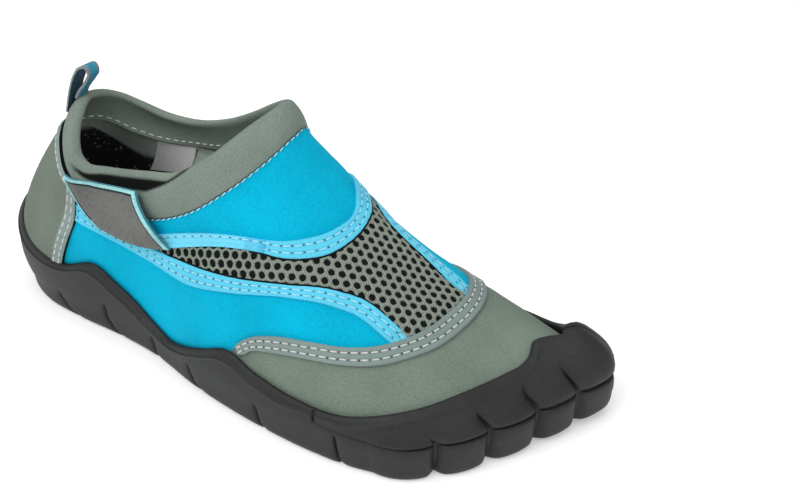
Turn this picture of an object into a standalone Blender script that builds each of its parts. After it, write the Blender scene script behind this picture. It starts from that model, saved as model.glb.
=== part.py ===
"""Barefoot water shoe for the right foot, built up as its maker sews and moulds it.

The shoe stands on its sole. +X points to the toes, +Y to the inner (big toe) side and +Z up. The origin lies on
the floor under the middle of the shoe. All sizes are in millimetres until a mesh is written in metres.
"""

from collections import namedtuple

import bmesh
import bpy
import numpy as np

METRE = 0.001  # one millimetre in metres
ORIGIN_X, ORIGIN_Y = 129.8, -1.55  # middle of the shoe, measured from the heel end of the tables
LATERAL, MEDIAL = 0, 1
HEEL, THROAT, TOE = 0.0, 1.0, 2.0  # stations along each side
MIDWAY = 0.5  # station halfway from the heel to the throat
OUTWARD = (1.0, -1.0)  # turn of a cross product on each side

GAP = 0.35  # between two flat pieces that are sewn or glued together
CURVED_GAP = 0.55  # the same between curved ones, where the flats of their meshes take some of it up
RUBBER = 3.2  # wall of the moulded cup
WALL = 2.4  # upper: neoprene with its lining
FOOTBED_Z = 7.2  # top of the outsole, under the insole
INSOLE_THICK = 3.0
TRIM_THICK = 0.9  # sewn strips and the heel panel
COLLAR_THICK = 4.6  # neoprene folded over
TOE_SPRING, TOE_SPRING_X, TOE_SPRING_LENGTH = 4.0, 228.0, 42.0
HEEL_SPRING, HEEL_SPRING_X = 2.5, 16.0
HEEL_SPRING_MOST = 1.3  # the lift runs on behind x = 0 up to this share
ARCH_LIFT, ARCH_X, ARCH_LENGTH = 2.4, 108.0, 30.0
THROAT_BASE_X = 175.0  # where the rib that runs down from the throat meets the outline
RIDGE_POWER, MEDIAL_POWER = 1.45, 1.15  # how the ribs fan out round the toes

# Outline of the rubber cup, seen from above, from the heel to the toe
Outline = namedtuple("Outline", "x y")
LATERAL_OUTLINE = [
    Outline(-5.0, 0.0),
    Outline(-1.0, -13.0),
    Outline(8.0, -23.5),
    Outline(22.0, -30.0),
    Outline(42.0, -33.0),
    Outline(70.0, -34.5),
    Outline(90.0, -37.0),
    Outline(120.0, -45.0),
    Outline(153.0, -50.5),
    Outline(180.0, -52.3),
    Outline(198.0, -51.5),
    Outline(212.0, -48.0),
    Outline(224.0, -41.0),
    Outline(234.0, -30.5),
    Outline(243.0, -18.0),
    Outline(251.5, -4.0),
    Outline(258.5, 8.0),
    Outline(264.0, 17.0),
    Outline(266.0, 25.0),
]
MEDIAL_OUTLINE = [
    Outline(-5.0, 0.0),
    Outline(-1.0, 14.0),
    Outline(8.0, 24.5),
    Outline(22.0, 30.5),
    Outline(42.0, 32.5),
    Outline(70.0, 31.5),
    Outline(95.0, 30.0),
    Outline(120.0, 31.5),
    Outline(150.0, 38.5),
    Outline(180.0, 46.0),
    Outline(200.0, 49.0),
    Outline(220.0, 49.0),
    Outline(237.0, 45.5),
    Outline(248.0, 41.5),
    Outline(256.5, 36.5),
    Outline(262.5, 31.0),
    Outline(266.0, 25.0),
]

# Lower seam and top edge of the collar band, from the back of the heel to the throat
Collar = namedtuple("Collar", "seam_x seam_y seam_z top_x top_y top_z")
LATERAL_COLLAR = [
    Collar(22.5, 1.0, 77.5, 33.0, 2.0, 92.0),
    Collar(27.5, -8.0, 76.5, 35.5, -6.5, 87.5),
    Collar(34.0, -15.5, 73.5, 39.0, -13.5, 82.0),
    Collar(43.5, -23.5, 69.5, 44.5, -18.8, 77.3),
    Collar(54.0, -28.0, 66.0, 52.0, -22.3, 75.0),
    Collar(68.0, -29.5, 63.5, 64.0, -23.4, 76.3),
    Collar(91.0, -29.5, 62.7, 88.0, -25.2, 80.7),
    Collar(112.6, -28.0, 71.3, 105.0, -26.0, 85.3),
    Collar(127.6, -21.0, 82.2, 117.0, -19.5, 93.0),
    Collar(136.4, -7.0, 91.0, 126.5, -6.5, 102.0),
    Collar(138.8, 11.0, 96.5, 133.5, 10.0, 108.0),
]
MEDIAL_COLLAR = [
    Collar(22.5, 1.0, 77.5, 33.0, 2.0, 92.0),
    Collar(26.0, 11.0, 76.5, 33.5, 11.0, 91.0),
    Collar(33.0, 19.0, 73.5, 37.0, 18.5, 87.5),
    Collar(43.5, 26.5, 69.5, 44.0, 24.0, 82.5),
    Collar(54.0, 30.0, 66.0, 54.0, 27.0, 78.7),
    Collar(68.0, 31.5, 63.5, 68.0, 28.5, 78.0),
    Collar(91.0, 31.5, 62.7, 87.0, 28.7, 82.4),
    Collar(111.6, 31.0, 71.3, 103.0, 27.5, 90.0),
    Collar(125.5, 28.0, 81.5, 116.0, 24.0, 98.0),
    Collar(134.5, 21.0, 90.5, 126.0, 18.0, 104.0),
    Collar(138.8, 11.0, 96.5, 133.5, 10.0, 108.0),
]
COLLAR_BULGE = 1.6

# Crest of the upper from the throat to above the toes
Ridge = namedtuple("Ridge", "x y z")
RIDGE = [
    Ridge(138.8, 11.0, 96.5),
    Ridge(147.0, 10.5, 87.0),
    Ridge(156.0, 10.0, 78.5),
    Ridge(168.0, 10.0, 69.0),
    Ridge(180.0, 9.5, 60.5),
    Ridge(192.0, 9.5, 53.0),
    Ridge(205.0, 10.0, 46.0),
    Ridge(218.0, 11.5, 40.0),
    Ridge(230.0, 14.0, 35.8),
    Ridge(240.0, 17.0, 33.0),
    Ridge(246.0, 19.0, 31.6),
]

# Ribs of the upper: leans in degrees from upright, pulls as shares of the rib's height or reach.
Rib = namedtuple("Rib", "station base_lean base_pull top_pull")
LATERAL_RIBS = [
    Rib(0.00, 22.0, 0.44, 0.36),
    Rib(0.12, 20.0, 0.43, 0.36),
    Rib(0.25, 16.0, 0.40, 0.36),
    Rib(0.38, 12.0, 0.38, 0.34),
    Rib(0.52, 9.0, 0.37, 0.34),
    Rib(0.65, 8.0, 0.38, 0.35),
    Rib(0.80, 8.0, 0.40, 0.38),
    Rib(1.00, 9.0, 0.44, 0.44),
    Rib(1.25, 11.0, 0.47, 0.46),
    Rib(1.50, 13.0, 0.50, 0.48),
    Rib(1.75, 14.0, 0.52, 0.50),
    Rib(2.00, 14.0, 0.54, 0.50),
]
MEDIAL_RIBS = LATERAL_RIBS[:6] + [
    Rib(0.80, 8.0, 0.35, 0.31),
    Rib(1.00, 9.0, 0.31, 0.20),
    Rib(1.25, 11.0, 0.33, 0.20),
    Rib(1.50, 13.0, 0.43, 0.32),
    Rib(1.75, 14.0, 0.46, 0.36),
    Rib(2.00, 14.0, 0.54, 0.50),
]
Lean = namedtuple("Lean", "station degrees")
SEAM_LEANS = [
    Lean(0.00, 37.0),
    Lean(0.12, 32.0),
    Lean(0.25, 15.0),
    Lean(0.38, 8.0),
    Lean(0.52, 8.0),
    Lean(0.65, 14.0),
    Lean(0.77, 27.0),
    Lean(0.89, 42.0),
    Lean(1.00, 61.0),
]
TURN_START = 0.45  # station from which the ribs turn forward, towards their foot

# The ribs carry a net of points, which is drawn smooth round the throat as stretched cloth is
NET_REAR, NET_FRONT, NET_RISE = 34, 43, 19
EASE_REACH, EASE_FOOT, EASE_RAMP, EASE_ROUNDS = 0.45, 0.08, 0.30, 160
EASE_IN, EASE_OUT = 0.60, -0.58  # each round draws the net tight and then lets it swell back

# Upper edge of the rubber: share of the outline from heel to toe, and share of the rib's length there
Edge = namedtuple("Edge", "around share")
LATERAL_EDGE = [
    Edge(0.00, 0.40),
    Edge(0.06, 0.375),
    Edge(0.13, 0.335),
    Edge(0.18, 0.36),
    Edge(0.22, 0.475),
    Edge(0.27, 0.385),
    Edge(0.31, 0.285),
    Edge(0.345, 0.17),
    Edge(0.375, 0.11),
    Edge(0.41, 0.135),
    Edge(0.45, 0.185),
    Edge(0.494, 0.23),
    Edge(0.54, 0.17),
    Edge(0.60, 0.13),
    Edge(0.66, 0.155),
    Edge(0.72, 0.24),
    Edge(0.785, 0.355),
    Edge(0.84, 0.465),
    Edge(0.88, 0.58),
    Edge(0.91, 0.77),
    Edge(0.945, 0.885),
    Edge(1.00, 0.97),
]
MEDIAL_EDGE = [
    Edge(0.00, 0.40),
    Edge(0.06, 0.375),
    Edge(0.13, 0.335),
    Edge(0.18, 0.36),
    Edge(0.22, 0.475),
    Edge(0.27, 0.385),
    Edge(0.34, 0.24),
    Edge(0.42, 0.17),
    Edge(0.52, 0.17),
    Edge(0.66, 0.16),
    Edge(0.78, 0.19),
    Edge(0.86, 0.26),
    Edge(0.91, 0.39),
    Edge(0.945, 0.595),
    Edge(0.97, 0.80),
    Edge(1.00, 0.97),
]

# Flex slits of the sole: where they meet the floor on each side, how high they climb and how far they lean back
Slit = namedtuple("Slit", "lateral_x medial_x height lean")
SLITS = [
    Slit(34.0, 36.0, 13.0, 0.40),
    Slit(63.5, 64.0, 18.0, 0.45),
    Slit(89.4, 90.0, 10.0, 0.05),
    Slit(119.0, 118.0, 17.0, 0.20),
    Slit(153.2, 150.0, 15.0, -0.10),
    Slit(191.4, 188.0, 17.0, 0.15),
]
SLIT_WIDTH, SLIT_DEPTH, TREAD_DEPTH = 2.4, 1.4, 2.0

# Notches between the toe lobes, on the lateral outline
TOE_NOTCHES_X = [226.0, 239.5, 250.5, 260.0]
NOTCH_WIDTH, NOTCH_DEPTH, LOBE_BULGE = 4.0, 2.4, 1.5
FIRST_LOBE_X, LAST_LOBE_X = 206.0, 238.0  # outer end of the little toe, inner end of the big toe
BIG_TOE_SWELL = 5.6  # how far the cap of the big toe stands out beyond the form
BIG_TOE_STATION, BIG_TOE_REACH = 2.12, 0.34  # middle and half length of that swell, counted on past the toe end
GROOVE_Z, GROOVE_DEPTH = 14.5, 1.3  # groove between the toe cap and the rim
GROOVE_HIGHEST = 0.45  # share of the rubber's height that the groove may reach
ARCH_OUTER_Y, ARCH_WIDTH = -35.0, 60.0  # the arch lifts from its outer side to its inner side
LOBE_ROUND, TOE_FADE, SLIT_FADE, SLIT_FLOOR = 0.8, 0.12, 3.0, 0.35
NONE = -1  # number of the slit for a column that lies in none
ROUND_STEP, SIDE_STEP = 7.0, 16.0  # columns round heel and toes, and along the sides
UNDER_ROWS, BED_ROWS = 4, 3
THINNEST_RUBBER = 1.0

# Rings of the sole: round its lower edge, then up the outside of the wall by shares of the rim
# and of the cap above it
Under = namedtuple("Under", "inset height cut")
UNDER_RINGS = [
    Under(7.0, 0.0, 0.0),
    Under(2.4, 0.0, 1.0),
    Under(0.7, 1.3, 1.0),
    Under(0.0, 4.0, 1.0),
]
Ring = namedtuple("Ring", "rim cap push groove lobe swell")
WALL_RINGS = [
    Ring(0.82, 0.00, 0.0, 0.0, 1.0, 0.0),
    Ring(1.00, 0.00, 0.0, 1.0, 1.0, 0.1),
    Ring(1.00, 0.10, 0.0, 0.0, 1.0, 0.35),
    Ring(1.00, 0.45, 0.0, 0.0, 0.9, 0.9),
    Ring(1.00, 0.72, 0.0, 0.0, 0.6, 1.0),
    Ring(1.00, 0.76, -0.7, 0.0, 0.5, 0.97),
    Ring(1.00, 0.94, -0.8, 0.0, 0.1, 0.75),
    Ring(1.00, 1.00, -1.7, 0.0, 0.0, 0.6),
]
INNER_RINGS = [1.0, 0.72, 0.45, 0.24, 0.10, 0.0]  # shares of the rubber's height, down the inside

# Section of the collar band: rise from its seam, and depth from its outside
CollarPoint = namedtuple("CollarPoint", "rise depth")
COLLAR_SECTION = [
    CollarPoint(0.045, 0.0),
    CollarPoint(0.50, 0.0),
    CollarPoint(0.86, 0.0),
    CollarPoint(0.97, 0.25),
    CollarPoint(1.00, 0.50),
    CollarPoint(0.97, 0.75),
    CollarPoint(0.86, 1.0),
    CollarPoint(0.50, 1.0),
    CollarPoint(0.26, 1.0),
]
STRIP_STEP, STRIP_COLUMNS = 6.0, 3
PANEL_ROWS, PANEL_COLUMNS = 6, 19
PATCH_ROWS, PATCH_COLUMNS = 6, 9

# Sewn strips: centre line on the outside of the upper, and the width there
Strip = namedtuple("Strip", "x y z width")
LATERAL_STRIP = [
    Strip(56.0, -31.4, 55.0, 7.7),
    Strip(76.2, -32.1, 52.0, 7.3),
    Strip(91.6, -32.6, 48.9, 6.6),
    Strip(110.9, -35.3, 48.2, 8.4),
    Strip(136.0, -37.3, 51.8, 6.0),
    Strip(160.0, -34.0, 55.4, 4.6),
    Strip(176.5, -28.0, 54.7, 6.0),
    Strip(186.5, -24.1, 51.4, 6.7),
    Strip(198.6, -23.6, 45.0, 6.8),
]
MEDIAL_STRIP = [
    Strip(56.0, 31.5, 55.0, 7.7),
    Strip(80.0, 32.5, 52.0, 7.2),
    Strip(105.0, 34.0, 53.0, 7.0),
    Strip(130.0, 35.5, 57.0, 6.4),
    Strip(148.0, 32.5, 61.0, 6.0),
    Strip(161.5, 27.0, 63.0, 6.0),
    Strip(173.0, 19.3, 63.0, 6.2),
    Strip(184.0, 17.6, 57.0, 6.4),
    Strip(194.7, 17.3, 51.3, 6.6),
    Strip(205.0, 15.9, 46.6, 6.8),
]
THROAT_TRIM = [
    Strip(108.0, -32.0, 59.6, 5.6),
    Strip(131.5, -30.0, 65.7, 4.8),
    Strip(143.0, -28.1, 66.6, 4.8),
    Strip(156.3, -25.0, 67.2, 6.8),
    Strip(164.3, -18.2, 67.5, 8.0),
    Strip(168.3, -8.1, 68.1, 7.3),
    Strip(168.8, 3.5, 69.5, 6.2),
    Strip(164.8, 14.4, 72.4, 7.4),
    Strip(157.0, 23.0, 72.0, 7.0),
    Strip(146.0, 28.8, 70.0, 5.4),
    Strip(131.0, 31.8, 67.0, 5.0),
    Strip(113.0, 33.0, 61.5, 5.4),
]
TOE_BINDING = [
    Strip(145.5, -46.0, 31.2, 4.6),
    Strip(149.6, -45.5, 34.4, 5.0),
    Strip(161.0, -44.8, 38.4, 6.2),
    Strip(174.7, -43.2, 40.2, 6.3),
    Strip(188.4, -39.2, 40.3, 6.5),
    Strip(197.0, -34.2, 40.4, 7.0),
    Strip(205.5, -24.6, 40.8, 7.3),
    Strip(210.2, -15.7, 41.1, 8.0),
    Strip(213.6, -1.7, 42.1, 8.2),
    Strip(214.1, 10.6, 42.7, 8.0),
    Strip(211.1, 22.3, 42.6, 7.8),
    Strip(204.0, 32.0, 39.5, 7.2),
    Strip(193.0, 39.0, 36.0, 6.6),
    Strip(180.0, 42.5, 32.5, 6.0),
    Strip(168.0, 43.0, 29.5, 5.5),
]

# Front edge of the heel panel on each side, from the rubber to the collar
Panel = namedtuple("Panel", "share station")
HEEL_PANEL_FRONT = [
    Panel(0.02, 0.287),
    Panel(0.39, 0.281),
    Panel(0.63, 0.280),
    Panel(0.96, 0.262),
]

# Badge on the outer side, sewn to the upper below and standing off the collar above
LowCorner = namedtuple("LowCorner", "station share")
TopPlace = namedtuple("TopPlace", "station rise lift")  # left to right
PATCH_LOW = [LowCorner(0.365, 0.835), LowCorner(0.61, 0.78)]
PATCH_TOP = [
    TopPlace(0.234, 0.10, 2.2),
    TopPlace(0.310, 0.52, 2.2),
    TopPlace(0.379, 0.62, 2.2),
    TopPlace(0.447, 0.67, 2.2),
    TopPlace(0.516, 0.66, 2.2),
]
PATCH_THICK, PATCH_BOW = 2.0, 3.0

# Webbing loop behind the collar, seen from the side
LoopPoint = namedtuple("LoopPoint", "x z")
PULL_LOOP = [
    LoopPoint(23.3, 81.5),
    LoopPoint(26.6, 88.5),
    LoopPoint(30.0, 95.0),
    LoopPoint(34.5, 102.0),
    LoopPoint(39.5, 106.5),
    LoopPoint(43.0, 105.5),
    LoopPoint(42.3, 101.0),
    LoopPoint(40.2, 96.5),
    LoopPoint(38.6, 92.0),
    LoopPoint(37.2, 87.8),
]
LOOP_WIDTH, LOOP_THICK, LOOP_Y, LOOP_STEPS = 9.0, 1.4, 1.5, 22
LoopCorner = namedtuple("LoopCorner", "across through")  # shares of the width and of the thickness
LOOP_CORNERS = [
    LoopCorner(-0.5, -0.5),
    LoopCorner(0.5, -0.5),
    LoopCorner(0.5, 0.5),
    LoopCorner(-0.5, 0.5),
]

SAMPLES = 800  # places tried when a curve is looked up backwards
SMALL = 1e-3  # step for slopes, as a share
WELD, THINNEST_EDGE = 2e-6, 1e-6  # metres
SHARP_EDGE = 38.0  # degrees

# Stand-in materials
Cloth = namedtuple("Cloth", "name colour roughness")
GREY = Cloth("grey_neoprene", (0.25, 0.28, 0.24), 0.85)
BLUE = Cloth("blue_neoprene", (0.0, 0.42, 0.68), 0.75)
PALE = Cloth("pale_blue_cloth", (0.17, 0.60, 0.85), 0.7)
BLACK = Cloth("black_rubber", (0.02, 0.02, 0.02), 0.6)
DARK = Cloth("dark_foam", (0.01, 0.01, 0.01), 0.9)
BADGE = Cloth("grey_badge", (0.15, 0.15, 0.14), 0.5)


def smooth(knots, values, at):
    """Values at the given places on a smooth curve through the knots."""
    knots, values, at = (np.asarray(a, float) for a in (knots, values, at))
    slopes = np.gradient(values, knots, axis=0)
    low = np.clip(np.searchsorted(knots, at, side="right") - 1, 0, len(knots) - 2)
    width = knots[low + 1] - knots[low]
    s = (at - knots[low]) / width
    if values.ndim > 1:
        s, width = s[..., None], width[..., None]
    start = (1 + 2 * s) * (1 - s) ** 2 * values[low] + s * (1 - s) ** 2 * width * slopes[low]
    end = s * s * (3 - 2 * s) * values[low + 1] + s * s * (s - 1) * width * slopes[low + 1]
    return start + end


def column(rows, name):
    return [getattr(row, name) for row in rows]


def chord_knots(points):
    steps = np.linalg.norm(np.diff(np.asarray(points, float), axis=0), axis=1)
    return np.concatenate([[0.0], np.cumsum(steps)])


class ClosedLoop:
    """A smooth closed curve through two sides that share their first and last row."""

    def __init__(self, lateral, medial):
        ring = list(lateral) + list(medial)[-2:0:-1]
        padded = np.array(ring[-3:] + ring + ring[:4], float)
        knots = chord_knots(padded)
        self.knots, self.values = knots - knots[3], padded
        self.length = self.knots[3 + len(ring)]
        self.far = self.knots[3 + len(lateral) - 1]

    def at(self, side, share):
        span = self.far if side == LATERAL else self.far - self.length
        return smooth(self.knots, self.values, np.asarray(share, float) * span % self.length)


OUTLINE_LOOP = ClosedLoop(LATERAL_OUTLINE, MEDIAL_OUTLINE)
COLLAR_LOOP = ClosedLoop(LATERAL_COLLAR, MEDIAL_COLLAR)
RIDGE_KNOTS = chord_knots(RIDGE) / chord_knots(RIDGE)[-1]


def share_at_x(side, x):
    """Share along one side of the outline where it passes x."""
    shares = np.linspace(0.0, 1.0, SAMPLES)
    return float(np.interp(x, OUTLINE_LOOP.at(side, shares)[:, 0], shares))


THROAT_SHARE = {side: share_at_x(side, THROAT_BASE_X) for side in (LATERAL, MEDIAL)}


def outline_share(side, station):
    """Share of the outline where the rib of this station stands."""
    power = 1.0 if side == LATERAL else MEDIAL_POWER
    rear = THROAT_SHARE[side] * np.clip(station, 0, 1)
    front = 1 - (1 - np.clip(station - 1, 0, 1)) ** power
    return rear + (1 - THROAT_SHARE[side]) * front


def station_at_x(side, x):
    stations = np.linspace(HEEL, TOE, SAMPLES)
    return float(np.interp(x, outline_xy(side, stations, 0.0)[0][:, 0], stations))


def outline_xy(side, station, inset):
    """Points of the outline moved inwards, and the outward directions there."""
    share = outline_share(side, station)
    here = OUTLINE_LOOP.at(side, share)
    along = OUTLINE_LOOP.at(side, share + SMALL) - OUTLINE_LOOP.at(side, share - SMALL)
    out = OUTWARD[side] * np.stack([along[:, 1], -along[:, 0]], axis=1)
    out /= np.linalg.norm(out, axis=1, keepdims=True)
    return here - inset * out, out


def spring(x):
    """Lift of the sole at the toe and at the back of the heel."""
    toe = np.clip((x - TOE_SPRING_X) / TOE_SPRING_LENGTH, 0, 1)
    heel = np.clip((HEEL_SPRING_X - x) / HEEL_SPRING_X, 0, HEEL_SPRING_MOST)
    return TOE_SPRING * toe**2 + HEEL_SPRING * heel**2


def rib_points(side, station, share):
    """Outer surface of the upper below the collar seam: one cubic rib for each station."""
    base_xy, out = outline_xy(side, station, RUBBER)
    base = np.column_stack([base_xy, FOOTBED_Z + GAP + spring(base_xy[:, 0])])
    seam = COLLAR_LOOP.at(side, np.clip(station, 0, 1))[:, :3]
    along_ridge = 1 - (1 - np.clip(station - 1, 0, 1)) ** RIDGE_POWER
    crest = smooth(RIDGE_KNOTS, RIDGE, along_ridge)
    ahead = smooth(RIDGE_KNOTS, RIDGE, np.clip(along_ridge + SMALL, 0, 1))
    behind = smooth(RIDGE_KNOTS, RIDGE, np.clip(along_ridge - SMALL, 0, 1))
    slope = (ahead - behind)[:, 2] / (ahead - behind)[:, 0]
    top = np.where((station < 1)[:, None], seam, crest)
    ribs = LATERAL_RIBS if side == LATERAL else MEDIAL_RIBS
    base_lean, base_pull, top_pull = (
        smooth(column(ribs, "station"), column(ribs, name), station) for name in Rib._fields[1:]
    )
    reach_xy = base_xy - top[:, :2]
    reach = np.linalg.norm(reach_xy, axis=1)
    turn = np.clip((station - TURN_START) / (1 - TURN_START), 0, 1)[:, None]
    turn = turn * turn * (3 - 2 * turn)
    fall = out * (1 - turn) + turn * reach_xy / np.maximum(reach, SMALL)[:, None]
    fall /= np.linalg.norm(fall, axis=1, keepdims=True)
    at_seam = smooth(column(SEAM_LEANS, "station"), column(SEAM_LEANS, "degrees"), np.clip(station, 0, 1))
    top_lean = np.where(station < 1, np.radians(at_seam), np.arctan2(1.0, -fall[:, 0] * slope))
    base_lean = np.radians(base_lean)
    height = top[:, 2] - base[:, 2]
    low = base.copy()
    low[:, :2] += (base_pull * height * np.sin(base_lean))[:, None] * out
    low[:, 2] += base_pull * height * np.cos(base_lean)
    high = top.copy()
    pull = top_pull * np.hypot(reach * np.sin(top_lean), height * np.cos(top_lean))
    high[:, :2] += (pull * np.sin(top_lean))[:, None] * fall
    high[:, 2] -= pull * np.cos(top_lean)
    s = share[:, None]
    return (
        (1 - s) ** 3 * base + 3 * s * (1 - s) ** 2 * low + 3 * s * s * (1 - s) * high + s**3 * top
    )


def collar_points(side, station, rise, depth):
    """The collar band, rise 0 at its seam and 1 at its top edge, depth 0 outside and 1 inside."""
    row = COLLAR_LOOP.at(side, station)
    seam, up = row[:, :3], row[:, 3:] - row[:, :3]
    along = COLLAR_LOOP.at(side, station + SMALL)[:, :3] - COLLAR_LOOP.at(side, station - SMALL)[:, :3]
    out = np.cross(along, up) * OUTWARD[side]
    out /= np.linalg.norm(out, axis=1, keepdims=True)
    swell = COLLAR_BULGE * 4 * rise * (1 - rise)
    return seam + up * rise[:, None] + out * (swell - depth * COLLAR_THICK)[:, None]


def bump(x, centre, half):
    """A soft hill of height 1."""
    return np.clip(1 - ((x - centre) / half) ** 2, 0, 1) ** 2


def draw_net():
    """Points of the upper's outside on both sides, by station and share, with the outward directions there."""
    t, s = np.meshgrid(NET_STATIONS, NET_SHARES, indexing="ij")
    net = np.stack([rib_points(side, t.ravel(), s.ravel()).reshape(*t.shape, 3) for side in (LATERAL, MEDIAL)])
    slack = bump(t, THROAT, EASE_REACH) * np.clip((s - EASE_FOOT) / EASE_RAMP, 0, 1)
    slack[:, -1] = 0.0  # the collar seam and the crest stay where they are
    for pull in [EASE_IN, EASE_OUT] * EASE_ROUNDS:
        over = np.concatenate([net[:, :, 1:], net[::-1, :, -2:-1]], axis=2)
        below = np.concatenate([net[:, :, :1], net[:, :, :-1]], axis=2)
        mean = (net[:, 2:] + net[:, :-2] + over[:, 1:-1] + below[:, 1:-1]) / 4
        net[:, 1:-1] += pull * slack[None, 1:-1, :, None] * (mean - net[:, 1:-1])
    ring = np.concatenate([net[::-1, 1:2], net, net[::-1, -2:-1]], axis=1)
    past = np.where((t[:, -1] < THROAT)[None, :, None], 2 * net[:, :, -1] - net[:, :, -2], net[::-1, :, -2])
    tall = np.concatenate([2 * net[:, :, :1] - net[:, :, 1:2], net, past[:, :, None]], axis=2)
    out = np.cross(ring[:, 2:] - ring[:, :-2], tall[:, :, 2:] - tall[:, :, :-2])
    out *= np.array([OUTWARD[LATERAL], OUTWARD[MEDIAL]])[:, None, None, None]
    out[:, -1, -1] = out[:, -2, -1]  # the crest ends in one point
    return net, out / np.linalg.norm(out, axis=-1, keepdims=True)


NET_STATIONS = np.concatenate(
    [np.linspace(HEEL, THROAT, NET_REAR, endpoint=False), np.linspace(THROAT, TOE, NET_FRONT)]
)
NET_SHARES = np.linspace(0, 1, NET_RISE)
NET, NET_OUT = draw_net()


def on_net(values, side, station, share):
    """Net values at any place. Stations before the heel or past the toe run on round it, and shares above 1
    run over the crest to the other side."""
    station, share = np.broadcast_arrays(np.asarray(station, float), np.asarray(share, float))
    other = (station < HEEL) | (station > TOE)
    station = np.where(station > TOE, 2 * TOE - station, np.abs(station))
    other = other ^ (share > 1)
    share = np.where(share > 1, 2 - share, share)
    which = np.where(other, 1 - side, side)
    column_at = np.interp(station, NET_STATIONS, np.arange(len(NET_STATIONS)))
    row_at = np.clip(share, 0, 1) * (NET_RISE - 1)
    i = np.minimum(column_at.astype(int), len(NET_STATIONS) - 2)
    j = np.minimum(row_at.astype(int), NET_RISE - 2)
    a, b = (column_at - i)[..., None], (row_at - j)[..., None]
    low = values[which, i, j] * (1 - a) + values[which, i + 1, j] * a
    high = values[which, i, j + 1] * (1 - a) + values[which, i + 1, j + 1] * a
    return low * (1 - b) + high * b


def point(side, station, share):
    return on_net(NET, side, station, share)


def lifted(side, station, share, lift):
    """Places off the outside of the upper."""
    out = on_net(NET_OUT, side, station, share)
    out /= np.linalg.norm(out, axis=-1, keepdims=True)
    return point(side, station, share) + np.asarray(lift, float)[..., None] * out


def seated(places, lift):
    """Places moved square to the upper until they lie this far off it."""
    points, outs = NET.reshape(-1, 3), NET_OUT.reshape(-1, 3)
    flat = places.reshape(-1, 3)
    near = np.linalg.norm(flat[:, None] - points[None], axis=2).argmin(axis=1)
    off = np.sum((flat - points[near]) * outs[near], axis=1)
    return (flat + (lift - off)[:, None] * outs[near]).reshape(places.shape)


def outward(places):
    """Outward direction of the upper nearest to each place."""
    near = np.linalg.norm(places[:, None] - NET.reshape(-1, 3)[None], axis=2).argmin(axis=1)
    return NET_OUT.reshape(-1, 3)[near]


def share_at_height(side, stations, z):
    """Rib share at which the upper's surface reaches a height above the sprung sole."""
    shares = np.linspace(0.0, 1.0, SAMPLES)
    found = []
    for station in stations:
        rib = point(side, station, shares)
        found.append(np.interp(z + spring(rib[0, 0]), rib[:, 2], shares))
    return np.array(found)


def build(name, sheets, material):
    """One closed object from sheets of points that share their borders."""
    mesh = bpy.data.meshes.new(name)
    shape = bmesh.new()
    for sheet in sheets:
        rows, count = sheet.shape[:2]
        moved = (sheet - (ORIGIN_X, ORIGIN_Y, 0.0)) * METRE
        verts = [[shape.verts.new(moved[i, j]) for j in range(count)] for i in range(rows)]
        for i in range(rows - 1):
            for j in range(count - 1):
                shape.faces.new((verts[i][j], verts[i + 1][j], verts[i + 1][j + 1], verts[i][j + 1]))
    bmesh.ops.remove_doubles(shape, verts=shape.verts, dist=WELD)
    bmesh.ops.dissolve_degenerate(shape, edges=shape.edges, dist=THINNEST_EDGE)
    bmesh.ops.recalc_face_normals(shape, faces=shape.faces)
    shape.to_mesh(mesh)
    shape.free()
    mesh.shade_smooth()
    mesh.set_sharp_from_angle(angle=np.radians(SHARP_EDGE))
    mesh.materials.append(material)
    thing = bpy.data.objects.new(name, mesh)
    bpy.context.scene.collection.objects.link(thing)
    return thing


def material(cloth):
    made = bpy.data.materials.new(cloth.name)
    made.use_nodes = True
    shader = made.node_tree.nodes["Principled BSDF"]
    shader.inputs["Base Color"].default_value = (*cloth.colour, 1.0)
    shader.inputs["Roughness"].default_value = cloth.roughness
    return made


def ladder(lateral, medial, across):
    """A sheet of rungs between the two sides of a ring."""
    steps = np.linspace(0.0, 1.0, across)[None, :, None]
    return lateral[:, None, :] * (1 - steps) + medial[:, None, :] * steps


def speed(side, station):
    """Millimetres of outline for one unit of station."""
    ends = outline_xy(side, np.array([station - SMALL, station + SMALL]), 0.0)[0]
    return np.linalg.norm(ends[1] - ends[0]) / (2 * SMALL)


def sole_marks(side):
    """Stations of the flex slits and toe notches."""
    slits = [station_at_x(side, x) for x in column(SLITS, "lateral_x" if side == LATERAL else "medial_x")]
    if side == LATERAL:
        return slits + [station_at_x(side, x) for x in TOE_NOTCHES_X]
    return slits + list(np.linspace(station_at_x(side, LAST_LOBE_X), TOE, len(TOE_NOTCHES_X) + 2)[1:-1])


def sole_columns(side):
    """Stations of the sole's columns, with the number of the slit or notch that each lies in, or NONE."""
    widths = [SLIT_WIDTH] * len(SLITS) + [NOTCH_WIDTH] * len(TOE_NOTCHES_X)
    lengths = np.diff([0.0] + [speed(LATERAL, MIDWAY) * mark for mark in sole_marks(LATERAL) + [TOE]])
    stations, inside, start = [0.0], [NONE], 0.0
    marks = sole_marks(side)
    for number, mark in enumerate(marks + [TOE]):
        half = widths[number] / 2 / speed(side, mark) if number < len(marks) else 0.0
        step = SIDE_STEP if 0 < number < len(SLITS) else ROUND_STEP
        count = max(2, int(round(lengths[number] / step)))
        stations += list(np.linspace(start, mark - half, count + 1)[1:])
        inside += [NONE] * count
        if number < len(marks):
            stations += [mark - half * SLIT_FLOOR, mark + half * SLIT_FLOOR, mark + half]
            inside += [number, number, NONE]
        start = mark + half
    return np.array(stations), np.array(inside)


def floor_z(x, y):
    """Underside of the sole: flat at heel and forefoot, lifted at the arch, the toe and the heel end."""
    inner = np.clip((y - ARCH_OUTER_Y) / ARCH_WIDTH, 0, 1)
    return spring(x) + ARCH_LIFT * inner * bump(x, ARCH_X, ARCH_LENGTH)


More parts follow.
